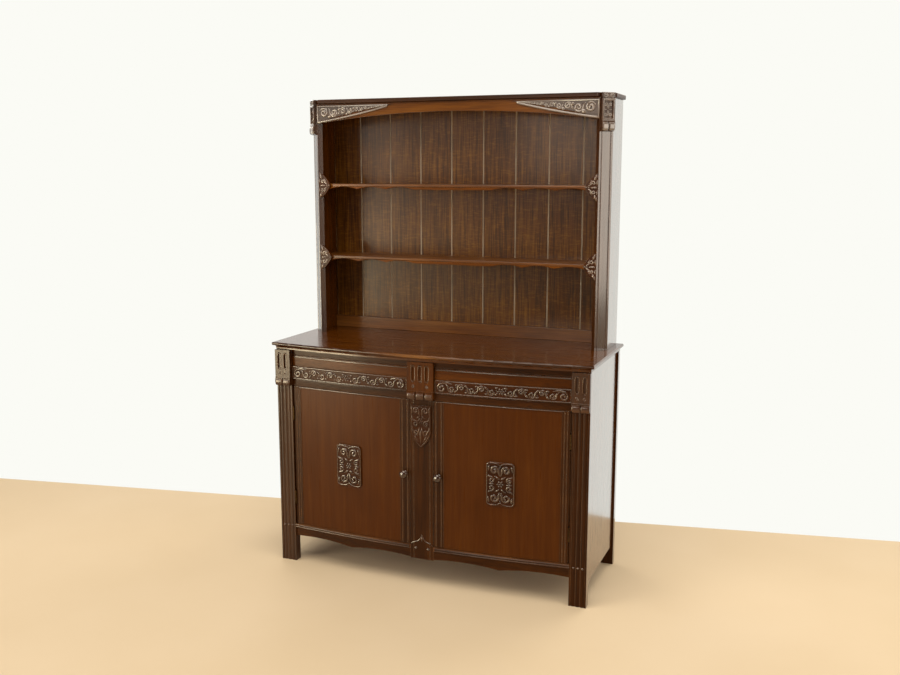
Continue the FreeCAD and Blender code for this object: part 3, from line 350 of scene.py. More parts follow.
# Dark, dull ground that lets the ridges stand out.
ground_oak = oak("carved_oak_ground", X, ("#2E1402", "#3D1C03", "#4C2607"), rough=0.36, coat=0.05, shine=1.2)
print("all oak finishes", len([m for m in bpy.data.materials if "oak" in m.name]))

# %% [markdown]
# The hinges are brass that age and stain have turned dark brown. A plain metal shader would look new, so
# spots of tarnish vary both the colour and the dullness.

# %% Brass
brass = blank("aged_brass")
tree = brass.node_tree
# Tarnish gathers in soft spots a few millimetres wide and dulls the shine there.
spot = noise(tree, add(tree, "ShaderNodeTexCoord").outputs["Object"], 260.0, 3.0)
tone = ramp(tree, spot, [(0.35, "#2A1D10"), (0.6, "#4E3A20")])
dull = mapped(tree, spot, to_low=0.55, to_high=0.25)
surfaced(tree, {"Base Color": tone, "Metallic": 1.0, "Roughness": dull})
print("brass nodes", len(tree.nodes))

# %% [markdown]
# A joiner takes the sharp corner off every edge with a plane and sandpaper. A bevel modifier does the same,
# but not on the frame's own meshes, whose triangles don't share corners. So each board is copied, its
# facets are merged, and its edges are rounded by a millimetre or less. On most boards the rounded strip gets
# the rubbed finish, which is also painted paler as a highlight along the edge.

# %% Easing
MOVING = ("left_door", "right_door", "left_drawer", "right_drawer")
MERGE = 0.00002
FLAT = math.radians(0.15)
FINE_EASE, EASE, BROAD_EASE = 0.0004, 0.0008, 0.001
made = {}


def body_of(node):
    return next((body for body in MOVING if node.startswith(body + "_")), "carcase")


def settled(obj):
    """Turn an object's modifiers into plain mesh."""
    graph = bpy.context.evaluated_depsgraph_get()
    mesh = bpy.data.meshes.new_from_object(obj.evaluated_get(graph))
    obj.modifiers.clear()
    obj.data = mesh


def eased(node, finish, radius, edge, board, reshape):
    mesh = bpy.data.meshes.new(node + "_eased")
    shape = bmesh.new()
    shape.from_mesh(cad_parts[node].data)
    # A dictionary keeps the corners in order, so that every run merges them the same way.
    pieces = {}
    for face in shape.faces:
        pieces.setdefault(board(face), {}).update(dict.fromkeys(face.verts))
    for verts in pieces.values():
        bmesh.ops.remove_doubles(shape, verts=list(verts), dist=MERGE)
    bmesh.ops.dissolve_limit(shape, angle_limit=FLAT, verts=shape.verts, edges=shape.edges)
    if reshape:
        reshape(shape)
    bmesh.ops.recalc_face_normals(shape, faces=shape.faces)
    shape.to_mesh(mesh)
    shape.free()
    mesh.materials.clear()
    mesh.materials.append(finish)
    mesh.materials.append(edge)
    for face in mesh.polygons:
        face.material_index = 0
        face.use_smooth = True
    obj = bpy.data.objects.new(node + "_eased", mesh)
    scene.collection.objects.link(obj)
    bevel = obj.modifiers.new("ease", "BEVEL")
    bevel.width = radius
    bevel.segments = 2
    bevel.limit_method = "ANGLE"
    bevel.angle_limit = math.radians(40)
    bevel.material = 1
    weigh = obj.modifiers.new("weigh", "WEIGHTED_NORMAL")
    weigh.keep_sharp = True
    settled(obj)
    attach(obj, body_of(node))
    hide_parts(node)
    return obj


def ease(nodes, finish, radius=EASE, edge=rubbed_highlit_edge, board=lambda face: 0, reshape=None):
    """Rounded copies of some nodes; board tells apart the pieces of a node that touch each other."""
    for node in nodes.split():
        made[node] = eased(node, finish, radius, edge, board, reshape)


print("edges are eased by", FINE_EASE * 1000, "to", BROAD_EASE * 1000, "mm")

# %% [markdown]
# The base's posts, rails and sides, the rack's posts and the cornice are plain boards, so easing is all
# that they need. Each gets the finish of its place and the grain of its length.

# %% Frame boards
ease("left_rack_post right_rack_post", polished_oak)
ease("left_side_panel right_side_panel left_rack_side right_rack_side", polished_side)
ease("left_front_post front_corbels", post_oak)
ease("right_front_post back_posts centre_muntin left_door_hinge_stile left_door_lock_stile "
     "right_door_hinge_stile right_door_lock_stile", frame_oak[Z])
ease("top_rails drawer_rails aprons cornice", frame_oak[X], BROAD_EASE)
print("frame boards", len(made))

# %% [markdown]
# The rack's shelves are thin boards with a shaped strip under the front edge: three scallops at each end,
# and a straight length between them. The frame's shelves are a little thick and its strips shallow in the
# middle. New strips could be modelled from a drawn outline, but moving the few corners of the frame's own
# is shorter.

# %% Rack shelves
THINNED = 0.0045
STRIP_MIDDLE, STRIP_DROP = 0.2, 0.0085
SCALLOP_START, SCALLOP_LONGER, SCALLOP_DEEPER = 0.507, 1.115, 1.25
SHELVES = "rack_lower_shelf rack_upper_shelf"


def thin(shape):
    """Raise the underside of a shelf."""
    low = min(vert.co.z for vert in shape.verts)
    for vert in shape.verts:
        if vert.co.z < low + 0.001:
            vert.co.z += THINNED


def deepen(shape):
    """Strips follow the thin shelves up, and keep their full depth between the scallops at their ends."""
    tops = [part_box(shelf)[0].z for shelf in SHELVES.split()]
    end = max(vert.co.x for vert in shape.verts)
    for vert in shape.verts:
        top = min(tops, key=lambda z: abs(z - vert.co.z))
        drop = top - vert.co.z if abs(vert.co.x) > STRIP_MIDDLE else STRIP_DROP
        vert.co.z = top + THINNED - SCALLOP_DEEPER * drop
        # The scallops start behind the brackets, and are a little longer than in the frame.
        vert.co.x = math.copysign(SCALLOP_START - SCALLOP_LONGER * (end - abs(vert.co.x)), vert.co.x)


ease(SHELVES, lit_shelf_oak, BROAD_EASE, reshape=thin)
ease("shelf_strips", lit_strip_oak, BROAD_EASE, lit_strip_oak, reshape=deepen)
# The back rail takes the shelves' painted-pale tone.
ease("rack_back_rail", lit_shelf_oak, BROAD_EASE)
print("scallops start", SCALLOP_START, "m from the middle")

# %% [markdown]
# Corbels, frieze, door panels and drawer fronts carry the show wood, and the carved pieces get the dark
# ground that their ridges will stand on. The outer sides of the posts are polished like the panels between
# them. They could be separate pieces, but picking faces by the way they look is enough.

# %% Show boards
# The middle corbel takes the warmer drawer tone, a painted highlight for the light on its lower face.
ease("centre_corbel", warm_oak[Z])
ease("arched_frieze", lit_frieze_oak)
# The rack corbels' ground is painted grey, as a haze of reflected light.
ease("rack_corbels", haze_painted_ground)
OUTER_SIDE = 0.59
for name in ("left_front_post", "right_front_post", "back_posts"):
    post = made[name].data
    post.materials.append(polished_side)
    for face in post.polygons:
        if abs(face.normal.x) > 0.9 and abs(face.center.x) > OUTER_SIDE:
            face.material_index = 2
ease("left_door_panel right_door_panel", door_oak)
ease("left_drawer_front right_drawer_front", warm_oak[X])
# The upper part of the top's front edge has been leaned on and rubbed the most, and carries the painted
# highlight.
ease("top_board", top_oak, edge=worn_highlit_oak)
NOSING = 0.8365
for face in made["top_board"].data.polygons:
    face.material_index = int(face.center.z > NOSING and face.normal.y < -0.3)
ease("left_door_plaque right_door_plaque left_drawer_band right_drawer_band muntin_pendant shelf_brackets",
     ground_oak)
# The spandrels' ground is painted grey, as a haze of reflected light.
ease("spandrels", haze_painted_ground)
print("boards so far", len(made))

# %% [markdown]
# Nine backboards close the rack, each with a small chamfer at its joints. Neighbours touch, so merging all
# corners would weld them into one sheet. Each face is therefore first given the number of its board. The
# chamfers get a pale painted highlight, and the backs stay plain.

# %% Backboards
BOARD, BOARDS_LEFT = 0.128, -0.576


def which_board(face):
    """Number of the backboard that a face belongs to; a joint face looks away from its own board."""
    return int((face.calc_center_median().x - 0.001 * face.normal.x - BOARDS_LEFT) // BOARD)


ease("rack_backboards", figured_oak, FINE_EASE, joint_highlight, which_board)
boards = made["rack_backboards"].data
boards.materials.append(inside_oak[Z])
for face in boards.polygons:
    joint = abs(face.normal.x) > 0.3 and face.normal.y < -0.2
    face.material_index = 2 if face.normal.y > 0.5 else int(joint)
print("eased boards", len(made), sum(len(obj.data.polygons) for obj in made.values()), "faces")

# %% [markdown]
# The boards inside are seen only when a door or a drawer stands open, and the back panel only from behind.
# Easing them would show little, so they keep the frame's own shapes and take the plain inside finish. The
# hinges keep their shapes too, in brass.

# %% Finishes on the frame's own pieces
PLAIN = ((inside_oak[X], "cupboard_floor left_cupboard_shelf right_cupboard_shelf left_drawer_back "
                         "right_drawer_back left_drawer_bottom right_drawer_bottom"),
         (inside_oak[Y], "drawer_kickers drawer_runners shelf_bearers left_drawer_sides right_drawer_sides"),
         (inside_oak[Z], "base_back_panel centre_partition"),
         (brass, "post_hinges left_door_hinges right_door_hinges"))
for finish, names in PLAIN:
    for name in names.split():
        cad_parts[name].data.materials.clear()
        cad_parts[name].data.materials.append(finish)
print("plain pieces", sum(len(names.split()) for finish, names in PLAIN))

# %% [markdown]
# Each door has one small knob, turned on a lathe: a thin foot, a short neck and a flattened, domed head.
# The screw modifier can spin a profile as a lathe does. Spinning it in a few lines gives the same rings,
# with a single point at the tip and no seam.

# %% Knobs
# Hard, dark end grain with a high polish: a small bright spark on each knob.
knob_oak = oak("turned_oak_knob", Y, ("#241004", "#321909", "#43240E"), rough=0.07, coat=0.8, pores=0.1,
               shine=1.5, relief=0.02)
# Distance from the door and radius, in mm, from the foot to the tip.
KNOB = ((0, 10.4), (1.8, 10.4), (2.9, 9.0), (4.6, 7.2), (8.4, 6.6), (10.6, 8.4), (12.3, 12.0), (14.2, 14.2),
        (16.2, 15.0), (18.0, 14.7), (19.4, 14.0), (20.6, 13.0), (22.3, 11.1), (23.6, 9.5), (24.6, 7.4),
        (25.4, 5.0), (26.2, 2.6), (26.6, 1.2), (26.8, 0.0))
KNOB_SIDES = 32


def knob(body):
    shape = bmesh.new()
    low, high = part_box(body + "_knob")
    middle = (low + high) / 2
    rings = []
    for depth, reach in KNOB:
        angles = [2 * math.pi * i / KNOB_SIDES for i in range(KNOB_SIDES if reach else 1)]
        rings.append([shape.verts.new((middle.x + reach / 1000 * math.cos(a), high.y - depth / 1000,
                                       middle.z + reach / 1000 * math.sin(a))) for a in angles])
    shape.faces.new(rings[0])
    for near, far in zip(rings, rings[1:]):
        for i in range(KNOB_SIDES):
            j = (i + 1) % KNOB_SIDES
            outer = (far[0],) if len(far) == 1 else (far[j], far[i])
            shape.faces.new((near[i], near[j]) + outer)
    bmesh.ops.recalc_face_normals(shape, faces=shape.faces)
    mesh = bpy.data.meshes.new(body + "_turned_knob")
    shape.to_mesh(mesh)
    shape.free()
    for face in mesh.polygons:
        face.use_smooth = True
    mesh.set_sharp_from_angle(angle=math.radians(50))
    mesh.materials.append(knob_oak)
    obj = bpy.data.objects.new(body + "_turned_knob", mesh)
    scene.collection.objects.link(obj)
    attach(obj, body)
    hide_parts(body + "_knob")
    return obj


print("knobs", [len(knob(body).data.polygons) for body in ("left_door", "right_door")])

# %% [markdown]
# The ornament is cut with gouges: scrolls, leaves and beads stand as half-round ridges on a sunk ground. It
# could be sculpted, or faked with a bump map, but sculpting can't be repeated and a bump has no outline. So
# each ridge is a drawn line with a width along it. One node tree sweeps a rounded section along all the
# lines of a panel, bends the result to the bow of the front, and is used for every carving.

# %% Carving tree
BOW_RADIUS, BOW_CENTRE = 4.505, 4.287


def carving_tree():
    tree = bpy.data.node_groups.new("carved_ridges", "GeometryNodeTree")
    tree.interface.new_socket("Lines", in_out="INPUT", socket_type="NodeSocketGeometry")
    for name, kind, value in (("Sides", "NodeSocketInt", 8), ("Height", "NodeSocketFloat", 0.8),
                              ("Bow Radius", "NodeSocketFloat", BOW_RADIUS),
                              ("Bow Centre", "NodeSocketFloat", BOW_CENTRE),
                              ("Bow Share", "NodeSocketFloat", 1.0)):
        tree.interface.new_socket(name, in_out="INPUT", socket_type=kind).default_value = value
    tree.interface.new_socket("Finish", in_out="INPUT", socket_type="NodeSocketMaterial")
    tree.interface.new_socket("Carving", in_out="OUTPUT", socket_type="NodeSocketGeometry")
    given = add(tree, "NodeGroupInput").outputs
    curve = add(tree, "GeometryNodeMeshToCurve", {"Mesh": given["Lines"]}).outputs[0]
    width = add(tree, "GeometryNodeInputNamedAttribute", {"Name": "half_width"}, data_type="FLOAT").outputs[0]
    curve = add(tree, "GeometryNodeSetCurveRadius", {"Curve": curve, "Radius": width}).outputs[0]
    curve = add(tree, "GeometryNodeSetCurveNormal", {"Curve": curve, "Normal": (0.0, -1.0, 0.0)},
                mode="FREE").outputs[0]
    # The section is a ring, flattened to the height of the ridge.
    ring = {"Resolution": given["Sides"], "Radius": 1.0}
    ring = add(tree, "GeometryNodeCurvePrimitiveCircle", ring).outputs[0]
    flat = add(tree, "ShaderNodeCombineXYZ", {"X": given["Height"], "Y": 1.0, "Z": 1.0}).outputs[0]
    ring = add(tree, "GeometryNodeTransform", {"Geometry": ring, "Scale": flat}).outputs[0]
    sweep = add(tree, "GeometryNodeCurveToMesh", {"Curve": curve, "Profile Curve": ring, "Fill Caps": True})
    if "Scale" in sweep.inputs:
        tree.links.new(width, sweep.inputs["Scale"])
    # The bow is an arc seen from above, so each point moves to the depth of the arc at its x.
    place = add(tree, "GeometryNodeInputPosition").outputs[0]
    spot = add(tree, "ShaderNodeSeparateXYZ", {0: place}).outputs["X"]
    square = calc(tree, "MULTIPLY", given["Bow Radius"], given["Bow Radius"])
    reach = calc(tree, "SQRT", calc(tree, "SUBTRACT", square, calc(tree, "MULTIPLY", spot, spot)))
    depth = calc(tree, "MULTIPLY", calc(tree, "SUBTRACT", given["Bow Centre"], reach), given["Bow Share"])
    shift = add(tree, "ShaderNodeCombineXYZ", {"Y": depth}).outputs[0]
    bent = add(tree, "GeometryNodeSetPosition", {"Geometry": sweep.outputs[0], "Offset": shift}).outputs[0]
    smooth = add(tree, "GeometryNodeSetShadeSmooth", {"Geometry": bent}).outputs[0]
    whole = add(tree, "GeometryNodeRealizeInstances", {"Geometry": smooth}).outputs[0]
    whole = add(tree, "GeometryNodeSetMaterial", {"Geometry": whole, "Material": given["Finish"]}).outputs[0]
    add(tree, "NodeGroupOutput", {"Carving": whole})
    return tree


carved = carving_tree()
socket_of = {s.name: s.identifier for s in carved.interface.items_tree if s.in_out == "INPUT"}
print("carving tree", len(carved.nodes), "nodes, inputs", list(socket_of))

# %% [markdown]
# A carving starts as bare edges: each stroke is a row of points with a half-width, and a stroke that ends
# where it began is closed to a ring. The node tree does the rest, and its result is kept as plain mesh.

# %% Carving from strokes
def carve(name, strokes, body, depth=0.0, bowed=True, height=0.8, turn=None, finish=ridge_oak, sides=8):
    """Strokes are lists of (x, z, half width) in mm; depth, in m, is measured from the bow, or is the y."""
    verts, edges, widths = [], [], []
    for stroke in strokes:
        first = len(verts)
        for x, z, half in stroke:
            verts.append((x / 1000, depth, z / 1000))
            widths.append(half / 1000)
        edges += [(first + i, first + i + 1) for i in range(len(stroke) - 1)]
        start, end = stroke[0], stroke[-1]
        if (start[0] - end[0]) ** 2 + (start[1] - end[1]) ** 2 < 0.01:
            verts.pop()
            widths.pop()
            edges[-1] = (len(verts) - 1, first)
    mesh = bpy.data.meshes.new(name)
    mesh.from_pydata(verts, edges, [])
    mesh.attributes.new("half_width", "FLOAT", "POINT").data.foreach_set("value", widths)
    obj = bpy.data.objects.new(name, mesh)
    scene.collection.objects.link(obj)
    nodes = obj.modifiers.new("carve", "NODES")
    nodes.node_group = carved
    settings = {"Sides": sides, "Height": height, "Bow Share": 1.0 if bowed else 0.0, "Finish": finish}
    for key, value in settings.items():
        nodes[socket_of[key]] = value
    settled(obj)
    if turn:
        obj.data.transform(turn)
    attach(obj, body)
    print(name, len(strokes), "strokes,", len(obj.data.polygons), "faces")
    return obj


# %% [markdown]
# A carver works with a few kinds of cut, and so does this script. A line follows given points smoothly, a
# volute winds in to its eye, a leaf swells and tapers, and a bead is one round push of the gouge. Bezier
# curves could be drawn for each, but with functions a whole panel stays a short list of cuts.

# %% Strokes
def between(before, start, end, after, t):
    """A point on the smooth curve from start to end that passes its neighbours without a kink."""
    return [0.5 * (2 * b + (c - a) * t + (2 * a - 5 * b + 4 * c - d) * t * t
                   + (3 * b - a - 3 * c + d) * t ** 3)
            for a, b, c, d in zip(before, start, end, after)]


def line(points, width, ends=0.25, closed=False, steps=6):
    """A smooth line through points, tapering to a share of its width at both ends."""
    count = len(points)
    out = []
    for i in range(count if closed else count - 1):
        near = [(i + k) % count if closed else min(max(i + k, 0), count - 1) for k in (-1, 0, 1, 2)]
        out += [between(*(points[k] for k in near), step / steps) for step in range(steps)]
    out.append(list(points[0] if closed else points[-1]))
    if closed:
        return [(x, z, width) for x, z in out]
    last = len(out) - 1
    return [(x, z, width * (ends + (1 - ends) * math.sin(math.pi * (0.06 + 0.88 * i / last)) ** 0.6))
            for i, (x, z) in enumerate(out)]


def straight(start, end, width, ends=0.9, steps=6):
    """A straight bead from one (x, z) to another."""
    middle = ((start[0] + end[0]) / 2, (start[1] + end[1]) / 2)
    return line([start, middle, end], width, ends, steps=steps)


def volute(x, z, radius, start, turns, width, lead=()):
    """A scroll that comes in along lead and winds round (x, z); turns is signed, start in degrees."""
    eye = 0.16
    count = max(10, int(abs(turns) * 14))
    wind = []
    for i in range(count + 1):
        reach = radius * (1 - (1 - eye) * (i / count))
        angle = math.radians(start) + 2 * math.pi * turns * (i / count)
        wind.append((x + reach * math.cos(angle), z + reach * math.sin(angle)))
    stem = [(px, pz) for px, pz, half in line(list(lead) + wind[:1], 1)[:-1]] if lead else []
    path = stem + wind
    last = len(path) - 1
    return [(px, pz, width * (0.35 + 0.65 * min(1, 5 * i / last)) * (1 if i < last - 3 else 1.15))
            for i, (px, pz) in enumerate(path)]


def leaf(x0, z0, x1, z1, width):
    """A leaf from its stalk to its tip."""
    return [(x0 + (x1 - x0) * t, z0 + (z1 - z0) * t, max(0.15, width * math.sin(math.pi * t ** 0.7) ** 0.8))
            for t in (0, 0.1, 0.25, 0.4, 0.55, 0.7, 0.85, 0.95, 1)]


def bead(x, z, radius):
    """A round bead, as a very short stroke that swells and closes."""
    return [(x + radius * 0.98 * math.cos(a), z, max(0.1, radius * math.sin(a)))
            for a in [math.pi * i / 8 for i in range(9)]]


def rosette(x, z, radius):
    """Six petals round a bead."""
    petals = []
    for angle in [2 * math.pi * i / 6 for i in range(6)]:
        across, up = radius * math.cos(angle), radius * math.sin(angle)
        inner = radius * 0.3
        petals.append(leaf(x + inner * math.cos(angle), z + inner * math.sin(angle), x + across, z + up,
                           radius * 0.27))
    return petals + [bead(x, z, radius * 0.28)]


def roll(x, z, wide, half):
    """A lobe curled like a rolled scroll, lying across."""
    ends = ((-0.5, 0.7), (-0.45, 0.92), (-0.35, 1), (0.35, 1), (0.45, 0.92), (0.5, 0.7))
    return [(x + wide * t, z, half * share) for t, share in ends]


def flip(strokes):
    return [[(-x, z, half) for x, z, half in stroke] for stroke in strokes]


def moved(strokes, dx, dz):
    return [[(x + dx, z + dz, half) for x, z, half in stroke] for stroke in strokes]


print("points in one volute", len(volute(0, 0, 10, 0, 1.4, 3)), "and in one leaf", len(leaf(0, 0, 10, 0, 3)))

# %% [markdown]
# Each drawer carries a carved band: a large volute at each end and, between them, ring scrolls above and
# below the middle with leaves in the gaps, mirrored about a rosette. A repeated tile would be easier, but
# it would not turn round in the middle as the real band does. A fine bead finishes the top edge of the
# drawer.

# %% Drawer bands
DRAWER, BAND_MIDDLE, DRAWER_TOP = 293, 738.5, 797
BAND_HALF, LIP = 238, 21.5


def band():
    half = [volute(214, -2, 16.5, 100, -1.4, 4.2, lead=[(176, 13), (195, 17)])]
    for i, x in enumerate((178, 142, 106, 70, 34)):
        up = 1 if i % 2 else -1
        half.append(volute(x, up * 4, 11.5, 20 * up, up * 1.35, 3.6,
                           lead=[(x + 26, -up * 14), (x + 14, -up * 6)]))
        half.append(leaf(x - 12, up * 14, x - 24, up * 4, 4.8))
        half.append(leaf(x - 12, -up * 11, x - 26, -up * 13, 4.0))
        half.append(bead(x - 18, -up * 4, 2.6))
    whole = half + flip(half) + rosette(0, 0, 15)
    # Lips run along the top and the bottom of the band, and close its ends.
    whole += [straight((-BAND_HALF, z), (BAND_HALF, z), 2.0, steps=24) for z in (LIP, -LIP)]
    whole += [straight((x, -LIP), (x, LIP), 1.6) for x in (-BAND_HALF - 0.5, BAND_HALF + 0.5)]
    return whole


for side, x in (("left_drawer", -DRAWER), ("right_drawer", DRAWER)):
    carve(side + "_band_carving", moved(band(), x, BAND_MIDDLE), side, depth=-0.005)
    top_edge = straight((x - BAND_HALF - 1, DRAWER_TOP), (x + BAND_HALF + 1, DRAWER_TOP), 2.6, steps=24)
    carve(side + "_top_bead", [top_edge], side, depth=-0.0002)

# %% [markdown]
# A plaque stands in the middle of each door. Paired volutes at head and foot make hearts, two small scrolls
# sit at each side, a rosette marks the middle, and the rim dips to a point above and below. Half of it is
# drawn and then mirrored, as a carver would fold the paper pattern.

# %% Door plaques
PLAQUE, PLAQUE_MIDDLE = 292.5, 411


def plaque():
    side = [volute(21, 49, 16, 200, -1.35, 4.6, lead=[(2, 29), (5, 40)]),
            volute(21, -49, 16, 160, 1.35, 4.6, lead=[(2, -29), (5, -40)]),
            volute(32, 14, 11, 90, 1.1, 3.8, lead=[(43, 32), (40, 27)]),
            volute(32, -14, 11, 270, -1.1, 3.8, lead=[(43, -32), (40, -27)]),
            leaf(40, 67, 43, 44, 4.4), leaf(40, -67, 43, -44, 4.4), leaf(42, 0, 20, 0, 4.2),
            leaf(2, 17, 20, 29, 4.0), leaf(2, -17, 20, -29, 4.0), bead(0, 60, 3.4), bead(0, -60, 3.4)]
    rim = [(0, 66), (9, 72), (25, 75), (40, 74), (47, 68), (48, 48), (48, 0), (48, -48), (47, -68),
           (40, -74), (25, -75), (9, -72), (0, -66)]
    rim += [(-x, z) for x, z in rim[-2:0:-1]]
    return side + flip(side) + rosette(0, 0, 14) + [line(rim, 1.9, closed=True)]


for side, x in (("left_door", -PLAQUE), ("right_door", PLAQUE)):
    carve(side + "_plaque_carving", moved(plaque(), x, PLAQUE_MIDDLE), side, depth=-0.004)

# %% [markdown]
# Below the middle corbel a pendant hangs on the upright: two volutes, a rosette, side scrolls and a leaf
# that narrows to the pendant's point. The upright is flat, so this carving isn't bent to the bow.

# %% Pendant
def pendant():
    side = [volute(18, 647, 13, 200, -1.3, 4.0, lead=[(3, 627), (6, 637)]),
            volute(21, 600, 11, 80, 1.1, 3.6, lead=[(33, 627), (31, 616)]),
            volute(19, 569, 10, 280, -1.1, 3.4, lead=[(33, 590), (31, 579)]),
            leaf(33, 662, 33, 630, 3.6), leaf(3, 588, 14, 551, 4.4), leaf(24, 558, 8, 533, 3.8),
            leaf(3, 629, 17, 619, 3.4), bead(5, 661, 3.2)]
    edge = line([(35, 664), (35, 600), (35, 575), (27, 552), (14, 532), (0.8, 519)], 1.3, 0.9)
    return side + flip(side) + rosette(0, 611, 13) + [leaf(0, 580, 0, 526, 5.0), edge] + flip([edge])


carve("pendant_carving", pendant(), "carcase", depth=-0.224, bowed=False, finish=bead_oak)

# %% [markdown]
# A double bead runs along the front of the cupboard floor, under both doors, with a narrow dark groove
# between. A moulding plane cuts it on a straight strip that is then bent to the bow. Here it is three long
# strokes of the same carving tree, which bends them to the same bow as the doors.

# %% Floor edge beads
FLOOR_INNER, FLOOR_OUTER = 50, 536
LOWER_BEAD, QUIRK, UPPER_BEAD = 136.9, 140.5, 144


def floor_run(z, half):
    run = straight((FLOOR_INNER, z), (FLOOR_OUTER, z), half, 1.0, steps=24)
    return [run] + flip([run])


beads = carve("floor_edge_beads", floor_run(LOWER_BEAD, 2.9) + floor_run(UPPER_BEAD, 2.9), "carcase",
              depth=-0.002, height=1.0, finish=bead_oak, sides=12)
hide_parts("bead_mouldings")
carve("floor_edge_quirk", floor_run(QUIRK, 6), "carcase", depth=-0.0004, height=0.2, finish=frame_oak[X])

# %% [markdown]
# A fine bead runs along the top of each door, and another closes the gap to the post at its hinge edge,
# clear of the two hinges. Such beads are planed on the door itself. As strokes of their own they can take
# their own finish and still ride on the door.

# %% Door beads
DOOR, DOOR_HALF, DOOR_TOP = 277, 229, 683.2
HINGE_EDGE = 531.2
CLEAR_OF_HINGES = ((152, 222), (286, 549), (613, 683))
for side, x in (("left_door", -DOOR), ("right_door", DOOR)):
    top_edge = straight((x - DOOR_HALF, DOOR_TOP), (x + DOOR_HALF, DOOR_TOP), 1.7, steps=24)
    carve(side + "_top_bead", [top_edge], side, depth=0.0)
for side, x in (("left_door", -HINGE_EDGE), ("right_door", HINGE_EDGE)):
    runs = [straight((x, low), (x, high), 2.0) for low, high in CLEAR_OF_HINGES]
    carve(side + "_edge_bead", runs, side, depth=-0.1842, bowed=False, height=1.0, finish=frame_oak[Z])

# %% [markdown]
# The joints of the rack's backboards catch the light as thin pale lines, painted here as a highlight. A line
# in the material would have to know where each joint lies; a thin flat stroke in each joint is simpler.

# %% Joint lines
JOINT_FOOT, JOINT_TOP = 896, 1640
joint_places = [round(1000 * (BOARDS_LEFT + BOARD * number)) for number in range(1, 9)]
joints = [line([(x, JOINT_FOOT), (x, JOINT_FOOT + 100), (x, JOINT_TOP)], 1.5, 0.9) for x in joint_places]
carve("backboard_joint_lines", joints, "carcase", depth=0.2312, bowed=False, height=0.4, finish=joint_highlight)

# %% [markdown]
# The spandrels fill the corners under the frieze. A big volute sits at the wide outer end and smaller ones
# follow toward the point, inside a raised rim. Each volute takes the space between the rim's two edges at
# its place, so the run tapers by itself.

# %% Spandrels
SPANDREL_OUTER, SPANDREL_LENGTH = 539, 312
SPANDREL_FOOT, SPANDREL_RISE, SPANDREL_SAG = 1656, 60, 17.6
RIM_OUTER, RIM_POINT, RIM_TOP = 541, 250, 1714


def under(x):
    """Height of the spandrel's lower edge at x."""
    share = (SPANDREL_OUTER - x) / SPANDREL_LENGTH
    return SPANDREL_FOOT + SPANDREL_RISE * share - SPANDREL_SAG * share * (1 - share)


def spandrel():
    low = [(x, under(x) - 0.5) for x in range(RIM_OUTER, 246, -12)]
    out = [line(low + [(RIM_POINT, RIM_TOP), (RIM_OUTER, RIM_TOP)], 4.2, closed=True, steps=1)]
    x, way = 514.0, 1
    while x > 266:
        middle = (RIM_TOP - 1 + under(x) + 4) / 2
        space = max((RIM_TOP - 1 - under(x) - 4) / 2 - 3.5, 2.2)
        stem = [(x + space * 1.4, middle - way * space * 0.8), (x + space * 1.05, middle - way * space * 0.4)]
        # The outermost volute stands by itself, and each later one hangs on a stem.
        out.append(volute(x, middle + way * space * 0.1, space * 0.85, 20 * way, way * 1.6,
                          max(1.9, space * 0.22), lead=stem if x < 500 else ()))
        out.append(leaf(x - space * 0.8, middle - way * space * 0.8, x - space * 1.7,
                        middle - way * space * 0.2, max(1.6, space * 0.4)))
        x -= space * 1.9 + 3
        way = -way
    return out


corner = spandrel()
# The spandrel ridges are painted pale, as a painted reflection of the light high up.
carve("spandrel_carving", corner + flip(corner), "carcase", depth=0.056, bowed=False, height=0.55,
      finish=highlit_ridge)

# %% [markdown]
# On each canted post a corbel has two volutes on its cap, a bordered panel of four small scrolls, and
# rounded lobes below. It is carved facing forward and then turned with its post, which is easier than
# drawing on a slant.

# %% Rack corbels
CANT = 45
POST_X, POST_Y = 0.564, 0.078


def rack_corbel():
    """The strokes on the corbel's face, and those in its sunk panel."""
    cap = [volute(12, 1727, 8, 90, -1.3, 2.3, lead=[(2, 1719), (4, 1728)])]
    panel = [volute(9, 1697, 7, 200, -1.25, 2.3, lead=[(1, 1683), (2, 1688)]),
             volute(9, 1665, 7, 160, 1.25, 2.3, lead=[(1, 1679), (2, 1674)]),
             leaf(16, 1681, 4, 1681, 2.4), leaf(3, 1711, 15, 1707, 2.2), leaf(3, 1651, 15, 1655, 2.2)]
    rim = line([(-20, 1649), (20, 1649), (20, 1713), (-20, 1713)], 2.4, closed=True, steps=1)
    bars = [straight((-24, z), (24, z), half, 1.0) for z, half in ((1645, 2.6), (1716, 2.2), (1736, 1.6))]
    return cap + flip(cap) + [rim] + bars, panel + flip(panel)


front, sunk = rack_corbel()
lobes = [roll(x, 1625, 22, 15) for x in (-12.5, 12.5)]
for name, way in (("right", 1), ("left", -1)):
    to = Matrix.Translation((way * POST_X, POST_Y, 0)) @ Matrix.Rotation(math.radians(way * CANT), 4, "Z")
    # The corbel's carving is painted pale, as a painted reflection of the light on the post.
    on_post = {"body": "carcase", "bowed": False, "turn": to, "finish": highlit_ridge}
    carve(name + "_rack_corbel_carving", front, depth=-0.012, **on_post)
    carve(name + "_rack_corbel_scrolls", sunk, depth=-0.007, **on_post)
    carve(name + "_rack_corbel_lobes", lobes, depth=-0.0135, height=0.32, sides=14, **on_post)

# %% [markdown]
# At the ends of the rack's shelves, carved brackets spread into leaves round a small flower. One quarter is
# drawn, then mirrored down and across.

